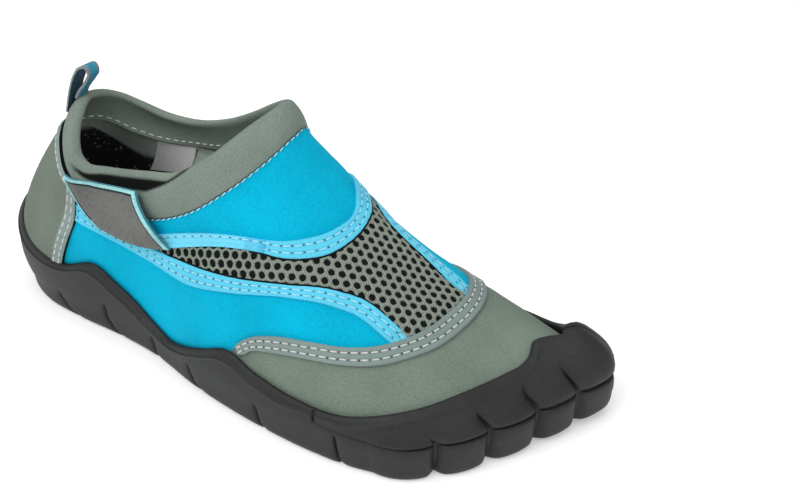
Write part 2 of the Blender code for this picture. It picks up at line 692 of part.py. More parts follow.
def lobes(side, stations):
    """Bulge of the toe lobes along the rim, 0 at the notches."""
    places = stations if side == LATERAL else 2 * TOE - stations
    marks = [station_at_x(LATERAL, x) for x in [FIRST_LOBE_X] + TOE_NOTCHES_X]
    marks.append(2 * TOE - station_at_x(MEDIAL, LAST_LOBE_X))
    rise = np.zeros(len(stations))
    for low, high in zip(marks[:-1], marks[1:]):
        rise += np.sin(np.pi * np.clip((places - low) / (high - low), 0, 1)) ** LOBE_ROUND
    return rise


def big_toe(side, stations):
    """Swell of the big toe's cap, 1 at its middle."""
    places = stations if side == LATERAL else 2 * TOE - stations
    return bump(places, BIG_TOE_STATION, BIG_TOE_REACH)


def toe_weight(side, stations):
    """1 along the toe lobes, 0 behind them."""
    start = station_at_x(side, FIRST_LOBE_X if side == LATERAL else LAST_LOBE_X)
    return np.clip((stations - start) / TOE_FADE, 0, 1)


def rubber_edge(side, stations):
    rows = LATERAL_EDGE if side == LATERAL else MEDIAL_EDGE
    return smooth(column(rows, "around"), column(rows, "share"), outline_share(side, stations))


def sole_side(side):
    """Sheet of one side of the sole, from the underside up over the lip and down inside to the foot bed."""
    stations, inside = sole_columns(side)
    in_slit = (inside != NONE) & (inside < len(SLITS))
    slit = in_slit.astype(float)
    notch = ((inside >= len(SLITS)) & (side == LATERAL)).astype(float)
    slit_row = np.where(in_slit, inside, 0)
    lean = slit * np.array(column(SLITS, "lean"))[slit_row]
    slit_top = slit * np.array(column(SLITS, "height"))[slit_row]
    bulge = LOBE_BULGE * lobes(side, stations)
    swell = BIG_TOE_SWELL * big_toe(side, stations)
    toe = toe_weight(side, stations)
    edge = rubber_edge(side, stations)
    groove_at = np.minimum(share_at_height(side, stations, GROOVE_Z), GROOVE_HIGHEST * edge)
    rings = []
    for ring in UNDER_RINGS:
        xy, out = outline_xy(side, stations, 0.0)
        cut = (slit * SLIT_DEPTH + notch * NOTCH_DEPTH) * ring.cut
        xy = xy + (bulge - cut - ring.inset)[:, None] * out
        tread = TREAD_DEPTH * slit if ring.height == 0 else 0.0
        rings.append(np.column_stack([xy, floor_z(xy[:, 0], xy[:, 1]) + ring.height + tread]))
    for ring in WALL_RINGS:
        share = ring.rim * groove_at + ring.cap * (edge - groove_at)
        z = point(side, stations, share)[:, 2]
        still_open = np.clip((slit_top - z) / SLIT_FADE, 0, 1)
        cut = SLIT_DEPTH * slit * still_open + NOTCH_DEPTH * notch * ring.lobe
        cut = cut + GROOVE_DEPTH * ring.groove * toe
        lift = RUBBER + ring.push + bulge * ring.lobe + swell * ring.swell - cut
        back = lean * (z - GROOVE_Z) * still_open / speed(side, MIDWAY)
        rings.append(lifted(side, stations - back, share, np.maximum(lift, GAP + THINNEST_RUBBER)))
    for part in INNER_RINGS:
        rings.append(lifted(side, stations, edge * part, np.full(len(stations), CURVED_GAP)))
    bed = rings[-1].copy()
    bed[:, 2] = FOOTBED_Z + spring(bed[:, 0])
    return np.stack(rings + [bed], axis=1)


def make_outsole(rubber):
    sides = [sole_side(side) for side in (LATERAL, MEDIAL)]
    under = ladder(sides[LATERAL][:, 0], sides[MEDIAL][:, 0], UNDER_ROWS)
    bed = ladder(sides[LATERAL][:, -1], sides[MEDIAL][:, -1], BED_ROWS)
    return build("outsole", sides + [under, bed], rubber)


def make_insole(foam):
    stations = NET_STATIONS[::2]
    rings = []
    for z in (FOOTBED_Z + GAP, FOOTBED_Z + GAP + INSOLE_THICK):
        pair = []
        for side in (LATERAL, MEDIAL):
            xy, _ = outline_xy(side, stations, RUBBER + WALL + 2 * GAP)
            pair.append(np.column_stack([xy, z + spring(xy[:, 0])]))
        rings.append(pair)
    walls = [np.stack([rings[0][side], rings[1][side]], axis=1) for side in (LATERAL, MEDIAL)]
    return build("insole", walls + [ladder(*rings[0], BED_ROWS), ladder(*rings[1], BED_ROWS)], foam)


def make_upper(neoprene):
    outer = NET[:, ::2, ::2]
    inner = outer - WALL * NET_OUT[:, ::2, ::2]
    crest = NET_STATIONS[::2] > THROAT - SMALL
    inner[:, crest, -1] = inner[:, crest, -1].mean(axis=0)
    for end in (0, -1):
        inner[:, end] = inner[:, end].mean(axis=0)
    rear = int(np.argmax(crest)) + 1
    sheets = []
    for side in (LATERAL, MEDIAL):
        sheets += [outer[side], inner[side]]
        sheets.append(np.stack([outer[side, :, 0], inner[side, :, 0]], axis=1))
        sheets.append(np.stack([outer[side, :rear, -1], inner[side, :rear, -1]], axis=1))
    return build("upper", sheets, neoprene)


def make_collar(neoprene):
    stations = NET_STATIONS[: NET_REAR + 1 : 2]
    sheets = []
    for side in (LATERAL, MEDIAL):
        rings = [
            collar_points(side, stations, np.full(len(stations), rise), depth) for rise, depth in COLLAR_SECTION
        ]
        sheets.append(np.stack(rings + rings[:1], axis=1))
    return build("collar", sheets, neoprene)


def plate(name, low, high, cloth):
    """A closed plate between two sheets of points."""
    rim = [np.stack([low[i], high[i]]) for i in (0, -1)]
    rim += [np.stack([low[:, i], high[:, i]]) for i in (0, -1)]
    return build(name, [low, high] + rim, cloth)


def make_strip(name, rows, cloth):
    """A sewn strip that lies on the upper along a line."""
    knots = chord_knots(np.array(rows)[:, :3])
    count = int(knots[-1] / STRIP_STEP) + 2
    line = smooth(knots, rows, np.linspace(0, knots[-1], count))
    middle = seated(line[:, :3], 0.0)
    across = np.cross(outward(middle), np.gradient(middle, axis=0))
    across /= np.linalg.norm(across, axis=1, keepdims=True)
    parts = np.linspace(-0.5, 0.5, STRIP_COLUMNS)
    places = middle[:, None] + (line[:, 3:] * parts)[:, :, None] * across[:, None]
    return plate(name, seated(places, CURVED_GAP), seated(places, CURVED_GAP + TRIM_THICK), cloth)


def make_heel_panel(neoprene):
    shares = np.linspace(HEEL_PANEL_FRONT[0].share, HEEL_PANEL_FRONT[-1].share, PANEL_ROWS)
    front = smooth(column(HEEL_PANEL_FRONT, "share"), column(HEEL_PANEL_FRONT, "station"), shares)
    t = np.linspace(-1, 1, PANEL_COLUMNS)[:, None] * front[None, :]
    edge = np.where(t > 0, rubber_edge(LATERAL, np.abs(t)), rubber_edge(MEDIAL, np.abs(t)))
    s = edge + shares * (1 - edge)
    low = lifted(LATERAL, t, s, np.full_like(t, CURVED_GAP))
    high = lifted(LATERAL, t, s, np.full_like(t, CURVED_GAP + TRIM_THICK))
    return plate("heel_panel", low, high, neoprene)


def make_patch(rubber):
    along = np.linspace(0, 1, PATCH_COLUMNS)
    (t0, s0), (t1, s1) = PATCH_LOW
    over_strip = np.full(PATCH_COLUMNS, 2 * CURVED_GAP + TRIM_THICK)
    low_edge = lifted(LATERAL, t0 + (t1 - t0) * along, s0 + (s1 - s0) * along, over_strip)
    top_at, rise, lift = smooth(np.linspace(0, 1, len(PATCH_TOP)), PATCH_TOP, along).T
    top_edge = collar_points(LATERAL, top_at, rise, -lift / COLLAR_THICK)
    out = outward((low_edge + top_edge) / 2)
    middle = (low_edge + top_edge) / 2 + PATCH_BOW * out
    up = np.linspace(0, 1, PATCH_ROWS)[None, :, None]
    low = (1 - up) ** 2 * low_edge[:, None] + 2 * up * (1 - up) * middle[:, None] + up**2 * top_edge[:, None]
    return plate("side_patch", low, low + PATCH_THICK * out[:, None], rubber)


def make_pull_loop(webbing):
    knots = chord_knots(PULL_LOOP)
    xz = smooth(knots, PULL_LOOP, np.linspace(0, knots[-1], LOOP_STEPS))
    along = np.gradient(xz, axis=0)
    along /= np.linalg.norm(along, axis=1, keepdims=True)
    out = np.stack([-along[:, 1], along[:, 0]], axis=1)
    corners = []
    for corner in LOOP_CORNERS + LOOP_CORNERS[:1]:
        place = xz + out * corner.through * LOOP_THICK
        y = np.full(LOOP_STEPS, LOOP_Y + corner.across * LOOP_WIDTH)
        corners.append(np.column_stack([place[:, 0], y, place[:, 1]]))
    tube = np.stack(corners, axis=1)
    ends = [np.stack([tube[i, [0, 1]], tube[i, [3, 2]]]) for i in (0, -1)]
    return build("pull_loop", [tube] + ends, webbing)


def main():
    for thing in list(bpy.data.objects):
        bpy.data.objects.remove(thing, do_unlink=True)
    grey, pale = material(GREY), material(PALE)
    make_outsole(material(BLACK))
    make_insole(material(DARK))
    make_upper(material(BLUE))
    make_collar(grey)
    make_heel_panel(grey)
    make_strip("lateral_strip", LATERAL_STRIP, pale)
    make_strip("medial_strip", MEDIAL_STRIP, pale)
    make_strip("throat_trim", THROAT_TRIM, pale)
    make_strip("toe_binding", TOE_BINDING, grey)
    make_patch(material(BADGE))
    make_pull_loop(pale)


if __name__ == "__main__":
    main()
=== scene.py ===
import math
from types import SimpleNamespace

import bpy
import numpy as np
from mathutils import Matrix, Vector
from mathutils.bvhtree import BVHTree
from mathutils.geometry import barycentric_transform


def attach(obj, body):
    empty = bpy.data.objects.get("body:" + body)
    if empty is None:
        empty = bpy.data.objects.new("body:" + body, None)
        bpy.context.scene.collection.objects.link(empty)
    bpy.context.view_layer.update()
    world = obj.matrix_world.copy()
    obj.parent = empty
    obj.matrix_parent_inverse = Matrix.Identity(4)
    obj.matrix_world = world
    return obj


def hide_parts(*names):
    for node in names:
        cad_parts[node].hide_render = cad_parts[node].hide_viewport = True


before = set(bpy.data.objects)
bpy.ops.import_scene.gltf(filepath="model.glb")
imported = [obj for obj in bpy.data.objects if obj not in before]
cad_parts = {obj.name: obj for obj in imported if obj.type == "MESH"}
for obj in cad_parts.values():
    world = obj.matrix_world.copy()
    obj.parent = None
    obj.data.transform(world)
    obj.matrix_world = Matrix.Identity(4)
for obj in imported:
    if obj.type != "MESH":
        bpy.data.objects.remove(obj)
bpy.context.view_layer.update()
print("frame:", len(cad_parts), "nodes")

bothSides = lateral, medial = 0, 1
outTurn = np.array([1.0, -1.0])
small, milli = 1e-3, 0.001
rowOrigin = np.array([129.8, -1.55, 0.0])  # the shoe's middle, in millimetres from the heel end of the tables

lastForm = {  # the shoe's own form, in millimetres, heel to toe
    "rubber": 3.2, "wall": 2.4, "bedZ": 7.2, "seamGap": 0.35, "curvedGap": 0.55,
    "collarThick": 4.6, "collarBulge": 1.6,
    "toeSpring": (4.0, 228.0, 42.0), "heelSpring": (2.5, 16.0, 1.3), "arch": (2.4, 108.0, 30.0),
    "throatX": 175.0, "ridgePower": 1.45, "medialPower": 1.15, "turnStart": 0.45,
    "outline": [
        [(-5, 0), (-1, -13), (8, -23.5), (22, -30), (42, -33), (70, -34.5), (90, -37), (120, -45),
         (153, -50.5), (180, -52.3), (198, -51.5), (212, -48), (224, -41), (234, -30.5), (243, -18),
         (251.5, -4), (258.5, 8), (264, 17), (266, 25)],
        [(-5, 0), (-1, 14), (8, 24.5), (22, 30.5), (42, 32.5), (70, 31.5), (95, 30), (120, 31.5), (150, 38.5),
         (180, 46), (200, 49), (220, 49), (237, 45.5), (248, 41.5), (256.5, 36.5), (262.5, 31), (266, 25)],
    ],
    "collar": [  # lower seam x y z, top edge x y z
        [(22.5, 1, 77.5, 33, 2, 92), (27.5, -8, 76.5, 35.5, -6.5, 87.5), (34, -15.5, 73.5, 39, -13.5, 82),
         (43.5, -23.5, 69.5, 44.5, -18.8, 77.3), (54, -28, 66, 52, -22.3, 75),
         (68, -29.5, 63.5, 64, -23.4, 76.3), (91, -29.5, 62.7, 88, -25.2, 80.7),
         (112.6, -28, 71.3, 105, -26, 85.3), (127.6, -21, 82.2, 117, -19.5, 93),
         (136.4, -7, 91, 126.5, -6.5, 102), (138.8, 11, 96.5, 133.5, 10, 108)],
        [(22.5, 1, 77.5, 33, 2, 92), (26, 11, 76.5, 33.5, 11, 91), (33, 19, 73.5, 37, 18.5, 87.5),
         (43.5, 26.5, 69.5, 44, 24, 82.5), (54, 30, 66, 54, 27, 78.7), (68, 31.5, 63.5, 68, 28.5, 78),
         (91, 31.5, 62.7, 87, 28.7, 82.4), (111.6, 31, 71.3, 103, 27.5, 90), (125.5, 28, 81.5, 116, 24, 98),
         (134.5, 21, 90.5, 126, 18, 104), (138.8, 11, 96.5, 133.5, 10, 108)],
    ],
    "ridge": [(138.8, 11, 96.5), (147, 10.5, 87), (156, 10, 78.5), (168, 10, 69), (180, 9.5, 60.5),
              (192, 9.5, 53), (205, 10, 46), (218, 11.5, 40), (230, 14, 35.8), (240, 17, 33),
              (246, 19, 31.6)],
    "ribs": [  # station, lean at the foot, pull at the foot, pull at the top
        (0, 22, 0.44, 0.36), (0.12, 20, 0.43, 0.36), (0.25, 16, 0.40, 0.36), (0.38, 12, 0.38, 0.34),
        (0.52, 9, 0.37, 0.34), (0.65, 8, 0.38, 0.35), (0.80, 8, 0.40, 0.38), (1.00, 9, 0.44, 0.44),
        (1.25, 11, 0.47, 0.46), (1.50, 13, 0.50, 0.48), (1.75, 14, 0.52, 0.50), (2.00, 14, 0.54, 0.50)],
    "medialRibs": [  # the same from station 0.80 on the inner side
        (0.80, 8, 0.35, 0.31), (1.00, 9, 0.31, 0.20), (1.25, 11, 0.33, 0.20), (1.50, 13, 0.43, 0.32),
        (1.75, 14, 0.46, 0.36), (2.00, 14, 0.54, 0.50)],
    "seamLeans": [(0, 37), (0.12, 32), (0.25, 15), (0.38, 8), (0.52, 8), (0.65, 14), (0.77, 27), (0.89, 42),
                  (1, 61)],
    "net": (34, 43, 19), "ease": (0.45, 0.08, 0.30, 160, 0.60, -0.58),
    "rubberEdge": [  # share of the outline, share of the rib
        [(0, 0.40), (0.06, 0.375), (0.13, 0.335), (0.18, 0.36), (0.22, 0.475), (0.27, 0.385), (0.31, 0.285),
         (0.345, 0.17), (0.375, 0.11), (0.41, 0.135), (0.45, 0.185), (0.494, 0.23), (0.54, 0.17),
         (0.60, 0.13), (0.66, 0.155), (0.72, 0.24), (0.785, 0.355), (0.84, 0.465), (0.866, 0.522),
         (0.882, 0.562), (0.893, 0.61), (0.902, 0.667), (0.908, 0.728), (0.914, 0.79), (0.924, 0.838),
         (0.946, 0.90), (1, 0.97)],
        [(0, 0.40), (0.06, 0.375), (0.13, 0.335), (0.18, 0.36), (0.22, 0.475), (0.27, 0.385), (0.34, 0.24),
         (0.42, 0.17), (0.52, 0.17), (0.66, 0.16), (0.78, 0.19), (0.86, 0.26), (0.91, 0.39), (0.945, 0.595),
         (0.97, 0.80), (1, 0.97)],
    ],
}


def smoothAt(knots, values, at):
    knots, values, at = (np.asarray(a, float) for a in (knots, values, at))
    slopes = np.gradient(values, knots, axis=0)
    low = np.clip(np.searchsorted(knots, at, side="right") - 1, 0, len(knots) - 2)
    width = knots[low + 1] - knots[low]
    s = (at - knots[low]) / width
    if values.ndim > 1:
        s, width = s[..., None], width[..., None]
    start = (1 + 2 * s) * (1 - s) ** 2 * values[low] + s * (1 - s) ** 2 * width * slopes[low]
    return start + s * s * (3 - 2 * s) * values[low + 1] + s * s * (s - 1) * width * slopes[low + 1]


def column(rows, number):
    return np.array([row[number] for row in rows], float)


def tableAt(rows, at):  # a table's second column, read smoothly along its first
    return smoothAt(column(rows, 0), column(rows, 1), at)


def chordKnots(points):
    steps = np.linalg.norm(np.diff(np.asarray(points, float), axis=0), axis=1)
    return np.concatenate([[0.0], np.cumsum(steps)])


def runAlong(grid, axis):  # millimetres from the start of each row or column of points
    steps = np.linalg.norm(np.diff(grid, axis=axis), axis=2)
    return np.insert(np.cumsum(steps, axis=axis), 0, 0.0, axis=axis)


def unit(v):
    return v / np.maximum(np.linalg.norm(v, axis=-1, keepdims=True), 1e-9)


def hill(x, centre, half):
    return np.clip(1 - ((x - centre) / half) ** 2, 0, 1) ** 2


def blendIn(x, low, high):
    s = np.clip((x - low) / (high - low), 0, 1)
    return s * s * (3 - 2 * s)


class SideLoop:  # closed curve through two sides that share their ends
    def __init__(self, sides):
        ring = list(sides[0]) + list(sides[1])[-2:0:-1]
        padded = np.array(ring[-3:] + ring + ring[:4], float)
        knots = chordKnots(padded)
        self.knots, self.values = knots - knots[3], padded
        self.length = self.knots[3 + len(ring)]
        self.far = self.knots[2 + len(sides[0])]

    def at(self, side, share):
        span = self.far if side == lateral else self.far - self.length
        return smoothAt(self.knots, self.values, np.asarray(share, float) * span % self.length)


outlineLoop, collarLoop = SideLoop(lastForm["outline"]), SideLoop(lastForm["collar"])
ridgeRows = np.array(lastForm["ridge"], float)
ridgeKnots = chordKnots(ridgeRows) / chordKnots(ridgeRows)[-1]
fineShares = np.linspace(0, 1, 800)
outlineX = [outlineLoop.at(side, fineShares)[:, 0] for side in bothSides]
throatShare = [np.interp(lastForm["throatX"], x, fineShares) for x in outlineX]


def outlineShare(side, station):
    power = 1.0 if side == lateral else lastForm["medialPower"]
    front = 1 - (1 - np.clip(station - 1, 0, 1)) ** power
    return throatShare[side] * np.clip(station, 0, 1) + (1 - throatShare[side]) * front


def rubberEdgeAt(side, station):  # share of the rib up to which the rubber reaches
    return tableAt(lastForm["rubberEdge"][side], outlineShare(side, station))


def outlineAt(side, station, inset):
    share = outlineShare(side, station)
    along = outlineLoop.at(side, share + small) - outlineLoop.at(side, share - small)
    out = unit(outTurn[side] * np.stack([along[:, 1], -along[:, 0]], axis=1))
    return outlineLoop.at(side, share) - inset * out, out


def stationAtX(side, x):
    stations = fineShares * 2
    return float(np.interp(x, outlineAt(side, stations, 0.0)[0][:, 0], stations))


def springAt(x):
    lift, start, length = lastForm["toeSpring"]
    heelLift, heelX, most = lastForm["heelSpring"]
    atToes = lift * np.clip((x - start) / length, 0, 1) ** 2
    return atToes + heelLift * np.clip((heelX - x) / heelX, 0, most) ** 2


def ribPoints(side, station, share):
    baseXy, out = outlineAt(side, station, lastForm["rubber"])
    base = np.column_stack([baseXy, lastForm["bedZ"] + lastForm["seamGap"] + springAt(baseXy[:, 0])])
    seam = collarLoop.at(side, np.clip(station, 0, 1))[:, :3]
    alongRidge = 1 - (1 - np.clip(station - 1, 0, 1)) ** lastForm["ridgePower"]
    crest = smoothAt(ridgeKnots, ridgeRows, alongRidge)
    step = smoothAt(ridgeKnots, ridgeRows, np.clip(alongRidge + small, 0, 1))
    step = step - smoothAt(ridgeKnots, ridgeRows, np.clip(alongRidge - small, 0, 1))
    top = np.where((station < 1)[:, None], seam, crest)
    ribs = lastForm["ribs"] if side == lateral else lastForm["ribs"][:6] + lastForm["medialRibs"]
    baseLean, basePull, topPull = (smoothAt(column(ribs, 0), column(ribs, n), station) for n in (1, 2, 3))
    reachXy = baseXy - top[:, :2]
    reach = np.linalg.norm(reachXy, axis=1)
    turn = blendIn(station, lastForm["turnStart"], 1)[:, None]
    fall = unit(out * (1 - turn) + turn * reachXy / np.maximum(reach, small)[:, None])
    seamLean = tableAt(lastForm["seamLeans"], np.clip(station, 0, 1))
    crestLean = np.arctan2(1.0, -fall[:, 0] * step[:, 2] / step[:, 0])
    topLean = np.where(station < 1, np.radians(seamLean), crestLean)
    baseLean, height = np.radians(baseLean), top[:, 2] - base[:, 2]
    low, high = base.copy(), top.copy()
    low[:, :2] += (basePull * height * np.sin(baseLean))[:, None] * out
    low[:, 2] += basePull * height * np.cos(baseLean)
    pull = topPull * np.hypot(reach * np.sin(topLean), height * np.cos(topLean))
    high[:, :2] += (pull * np.sin(topLean))[:, None] * fall
    high[:, 2] -= pull * np.cos(topLean)
    s = share[:, None]
    return (1 - s) ** 3 * base + 3 * s * (1 - s) ** 2 * low + 3 * s * s * (1 - s) * high + s**3 * top


def collarAt(side, station, rise, depth):
    row = collarLoop.at(side, station)
    seam, up = row[:, :3], row[:, 3:] - row[:, :3]
    along = collarLoop.at(side, station + small)[:, :3] - collarLoop.at(side, station - small)[:, :3]
    out = unit(np.cross(along, up) * outTurn[side])
    swell = lastForm["collarBulge"] * 4 * rise * (1 - rise)
    push = np.asarray(swell - depth * lastForm["collarThick"])
    return seam + up * np.asarray(rise)[..., None] + out * push[..., None]


def drawNet():
    t, s = np.meshgrid(netStations, netShares, indexing="ij")
    net = np.stack([ribPoints(side, t.ravel(), s.ravel()).reshape(*t.shape, 3) for side in bothSides])
    reach, foot, ramp, rounds, tight, slackBack = lastForm["ease"]
    slack = hill(t, 1.0, reach) * np.clip((s - foot) / ramp, 0, 1)
    slack[:, -1] = 0.0
    for pull in [tight, slackBack] * rounds:
        over = np.concatenate([net[:, :, 1:], net[::-1, :, -2:-1]], axis=2)
        below = np.concatenate([net[:, :, :1], net[:, :, :-1]], axis=2)
        mean = (net[:, 2:] + net[:, :-2] + over[:, 1:-1] + below[:, 1:-1]) / 4
        net[:, 1:-1] += pull * slack[None, 1:-1, :, None] * (mean - net[:, 1:-1])
    ring = np.concatenate([net[::-1, 1:2], net, net[::-1, -2:-1]], axis=1)
    past = np.where((t[:, -1] < 1)[None, :, None], 2 * net[:, :, -1] - net[:, :, -2], net[::-1, :, -2])
    tall = np.concatenate([2 * net[:, :, :1] - net[:, :, 1:2], net, past[:, :, None]], axis=2)
    out = np.cross(ring[:, 2:] - ring[:, :-2], tall[:, :, 2:] - tall[:, :, :-2])
    out = out * outTurn[:, None, None, None]
    out[:, -1, -1] = out[:, -2, -1]
    return net, unit(out)


def padNet(values):  # two more rows and columns all round, taken from the other side where the form runs on
    ring = np.concatenate([values[::-1, 2:0:-1], values, values[::-1, -2:-4:-1]], axis=1)
    crest = np.concatenate([[False] * 2, netStations > 1 - small, [True] * 2])[None, :, None]
    first, top = ring[:, :, 0], ring[:, :, -1]
    over = [np.where(crest, ring[::-1, :, -1 - n], top + n * (top - ring[:, :, -2])) for n in (1, 2)]
    under = [first + n * (first - ring[:, :, 1]) for n in (2, 1)]
    return np.concatenate([np.stack(under, axis=2), ring, np.stack(over, axis=2)], axis=2)


def cubicWeights(a):
    before, here = a * (-0.5 + a * (1 - 0.5 * a)), 1 + a * a * (-2.5 + 1.5 * a)
    return np.stack([before, here, a * (0.5 + a * (2 - 1.5 * a)), a * a * (-0.5 + 0.5 * a)], -1)


def netAt(padded, side, station, share):
    station, share = np.broadcast_arrays(np.asarray(station, float), np.asarray(share, float))
    other = ((station < 0) | (station > 2)) ^ (share > 1)
    station = np.where(station > 2, 4 - station, np.abs(station))
    share = np.where(share > 1, 2 - share, share)
    which = np.where(other, 1 - side, side)
    u = np.interp(station, netStations, np.arange(len(netStations)))
    v = np.clip(share, 0, 1) * (len(netShares) - 1)
    i, j = np.minimum(u.astype(int), len(netStations) - 2), np.minimum(v.astype(int), len(netShares) - 2)
    across, up = cubicWeights(u - i), cubicWeights(v - j)
    total = 0.0
    for k in range(4):
        for n in range(4):
            total = total + (across[..., k] * up[..., n])[..., None] * padded[which, i + k + 1, j + n + 1]
    return total


rearCount, frontCount, riseCount = lastForm["net"]
netStations = np.concatenate([np.linspace(0, 1, rearCount, endpoint=False), np.linspace(1, 2, frontCount)])
netShares = np.linspace(0, 1, riseCount)
formNet, formOut = (padNet(values) for values in drawNet())


def offForm(side, station, share, lift):  # a place lifted square to the form
    out = unit(netAt(formOut, side, station, share))
    return netAt(formNet, side, station, share) + np.asarray(lift, float)[..., None] * out


print("form: net of", len(netStations), "by", riseCount)

# shader maths


class Value:  # a socket that takes part in sums
    def __init__(self, paint, socket):
        self.paint, self.socket = paint, socket

    def math(self, operation, *others):
        return self.paint.sum(operation, self, *others)

    def __add__(self, other):
        return self.paint.sum("ADD", self, other)

    def __radd__(self, other):
        return self.paint.sum("ADD", other, self)

    def __sub__(self, other):
        return self.paint.sum("SUBTRACT", self, other)

    def __rsub__(self, other):
        return self.paint.sum("SUBTRACT", other, self)

    def __mul__(self, other):
        return self.paint.sum("MULTIPLY", self, other)

    def __rmul__(self, other):
        return self.paint.sum("MULTIPLY", other, self)

    def __truediv__(self, other):
        return self.paint.sum("DIVIDE", self, other)


class Paint:
    def __init__(self, name, **fixed):
        self.material = bpy.data.materials.new(name)
        self.material.use_nodes = True
        self.tree = self.material.node_tree
        self.shader = self.tree.nodes["Principled BSDF"]
        for socket, value in fixed.items():
            self.shader.inputs[socket.replace("_", " ")].default_value = value

    def node(self, kind, settings=None, sockets=None, out=0):
        made = self.tree.nodes.new(kind)
        for key, value in (settings or {}).items():
            setattr(made, key, value)
        for key, value in (sockets or {}).items():
            self.feed(made.inputs[key], value)
        return Value(self, made.outputs[out])

    def feed(self, socket, value):
        if isinstance(value, Value):
            self.tree.links.new(value.socket, socket)
        else:
            socket.default_value = value

    def sum(self, operation, *terms):
        return self.node("ShaderNodeMath", {"operation": operation}, dict(enumerate(terms)))

    def step(self, value, low, high):
        settings = {"interpolation_type": "SMOOTHSTEP"}
        return self.node("ShaderNodeMapRange", settings, {0: value, 1: low, 2: high})

    def place(self, kind="Object"):
        return self.node("ShaderNodeTexCoord", out=kind)

    def split(self, vector):
        made = self.node("ShaderNodeSeparateXYZ", sockets={0: vector}).socket.node
        return [Value(self, socket) for socket in made.outputs]

    def noise(self, scale, detail=2.0, rough=0.5, at=None):
        sockets = {"Vector": at or self.place(), "Scale": scale, "Detail": detail, "Roughness": rough}
        return self.node("ShaderNodeTexNoise", None, sockets)

    def mix(self, share, one, two):
        return self.node("ShaderNodeMix", {"data_type": "RGBA"}, {0: share, 6: one, 7: two}, out=2)

    def bump(self, height, distance, strength):
        sockets = {"Height": height, "Distance": distance, "Strength": strength}
        return self.node("ShaderNodeBump", None, sockets)

    def put(self, socket, value):
        self.feed(self.shader.inputs[socket], value)


def shade(red, green, blue):  # screen colour 0 to 255 as a linear one
    part = [c / 255 for c in (red, green, blue)]
    return tuple(c / 12.92 if c <= 0.04045 else ((c + 0.055) / 1.055) ** 2.4 for c in part) + (1.0,)


def varied(colour, factor):
    return tuple(min(1.0, c * factor) for c in colour[:3]) + (1.0,)


clothLook = {
    "blue": shade(0, 170, 205), "paleBlue": shade(88, 198, 228), "satinBlue": shade(108, 208, 236),
    "foldShadeBlue": shade(48, 160, 200), "grey": shade(111, 121, 111), "toeGrey": shade(114, 127, 116),
    "collarGrey": shade(121, 133, 124), "bindingGrey": shade(124, 140, 137), "heelEdge": shade(132, 148, 144),
    "yarn": shade(135, 143, 133), "backingAndShadow": shade(20, 24, 22), "gapShade": shade(16, 18, 18),
    "grainScale": 1500.0, "cloudScale": 45.0, "knitScale": 420.0,
}
tapeLook = {  # lengths in millimetres, hole gap as a share of the pitch
    "grainScale": 1300.0, "cloudScale": 60.0, "holeToneScale": 260.0, "ribs": 9.0, "foldSoft": (1.2, 4.0),
    "holeGap": (0.36, 0.47), "holeAway": (0.28, 0.5), "pressedShadeAway": (0.2, 0.9),
}
liningLook = {  # lengths in metres
    "grey": shade(186, 197, 189), "black": shade(30, 32, 31), "glintGrey": shade(150, 156, 152),
    "edgeZ": 0.050, "edgeSoft": (-0.002, 0.003), "wander": 0.0025,
    "heelClimb": 0.020, "heelX": -0.106, "heelSteep": 220.0, "grainScale": 1300.0, "netScale": 420.0,
}


def neoprene(name, colour, gapShade=False):  # fine jersey over foam rubber; the flag adds painted shade, as dark as its map says
    paint = Paint(name, Roughness=0.8, Specular_IOR_Level=0.08)
    grain = paint.noise(clothLook["grainScale"], 3.0, 0.6)
    cloud = paint.noise(clothLook["cloudScale"], 3.0)
    tone = paint.step(grain * 0.65 + cloud * 0.35, 0.34, 0.66)
    cloth = paint.mix(tone, varied(colour, 0.84), varied(colour, 1.15))
    if gapShade:
        # painted shade, as dark as the map's second coordinate
        _, dark, _ = paint.split(paint.place("UV"))
        cloth = paint.mix(dark, cloth, clothLook["gapShade"])
    paint.put("Base Color", cloth)
    paint.put("Roughness", 0.74 + 0.14 * grain)
    paint.put("Normal", paint.bump(grain + 0.6 * paint.noise(clothLook["knitScale"], 1.0), 0.00012, 0.6))
    return paint.material


def netYarn(name):  # knitted yarn of the net, on its own map in millimetres
    paint = Paint(name, Roughness=0.85, Specular_IOR_Level=0.15)
    colour = clothLook["yarn"]
    strands = paint.noise(2.6, 3.0, 0.7, at=paint.place("UV"))
    u, v, _ = paint.split(paint.place("UV"))
    twist = ((u * 2.6 + v * 6.2).math("SINE") * 0.5 + 0.5) * 0.25 + strands * 0.75
    tone = paint.step(twist, 0.3, 0.7)
    paint.put("Base Color", paint.mix(tone, varied(colour, 0.66), varied(colour, 1.22)))
    paint.put("Roughness", 0.78 + 0.14 * strands)
    paint.put("Normal", paint.bump(twist, 0.0003, 0.8))
    return paint.material


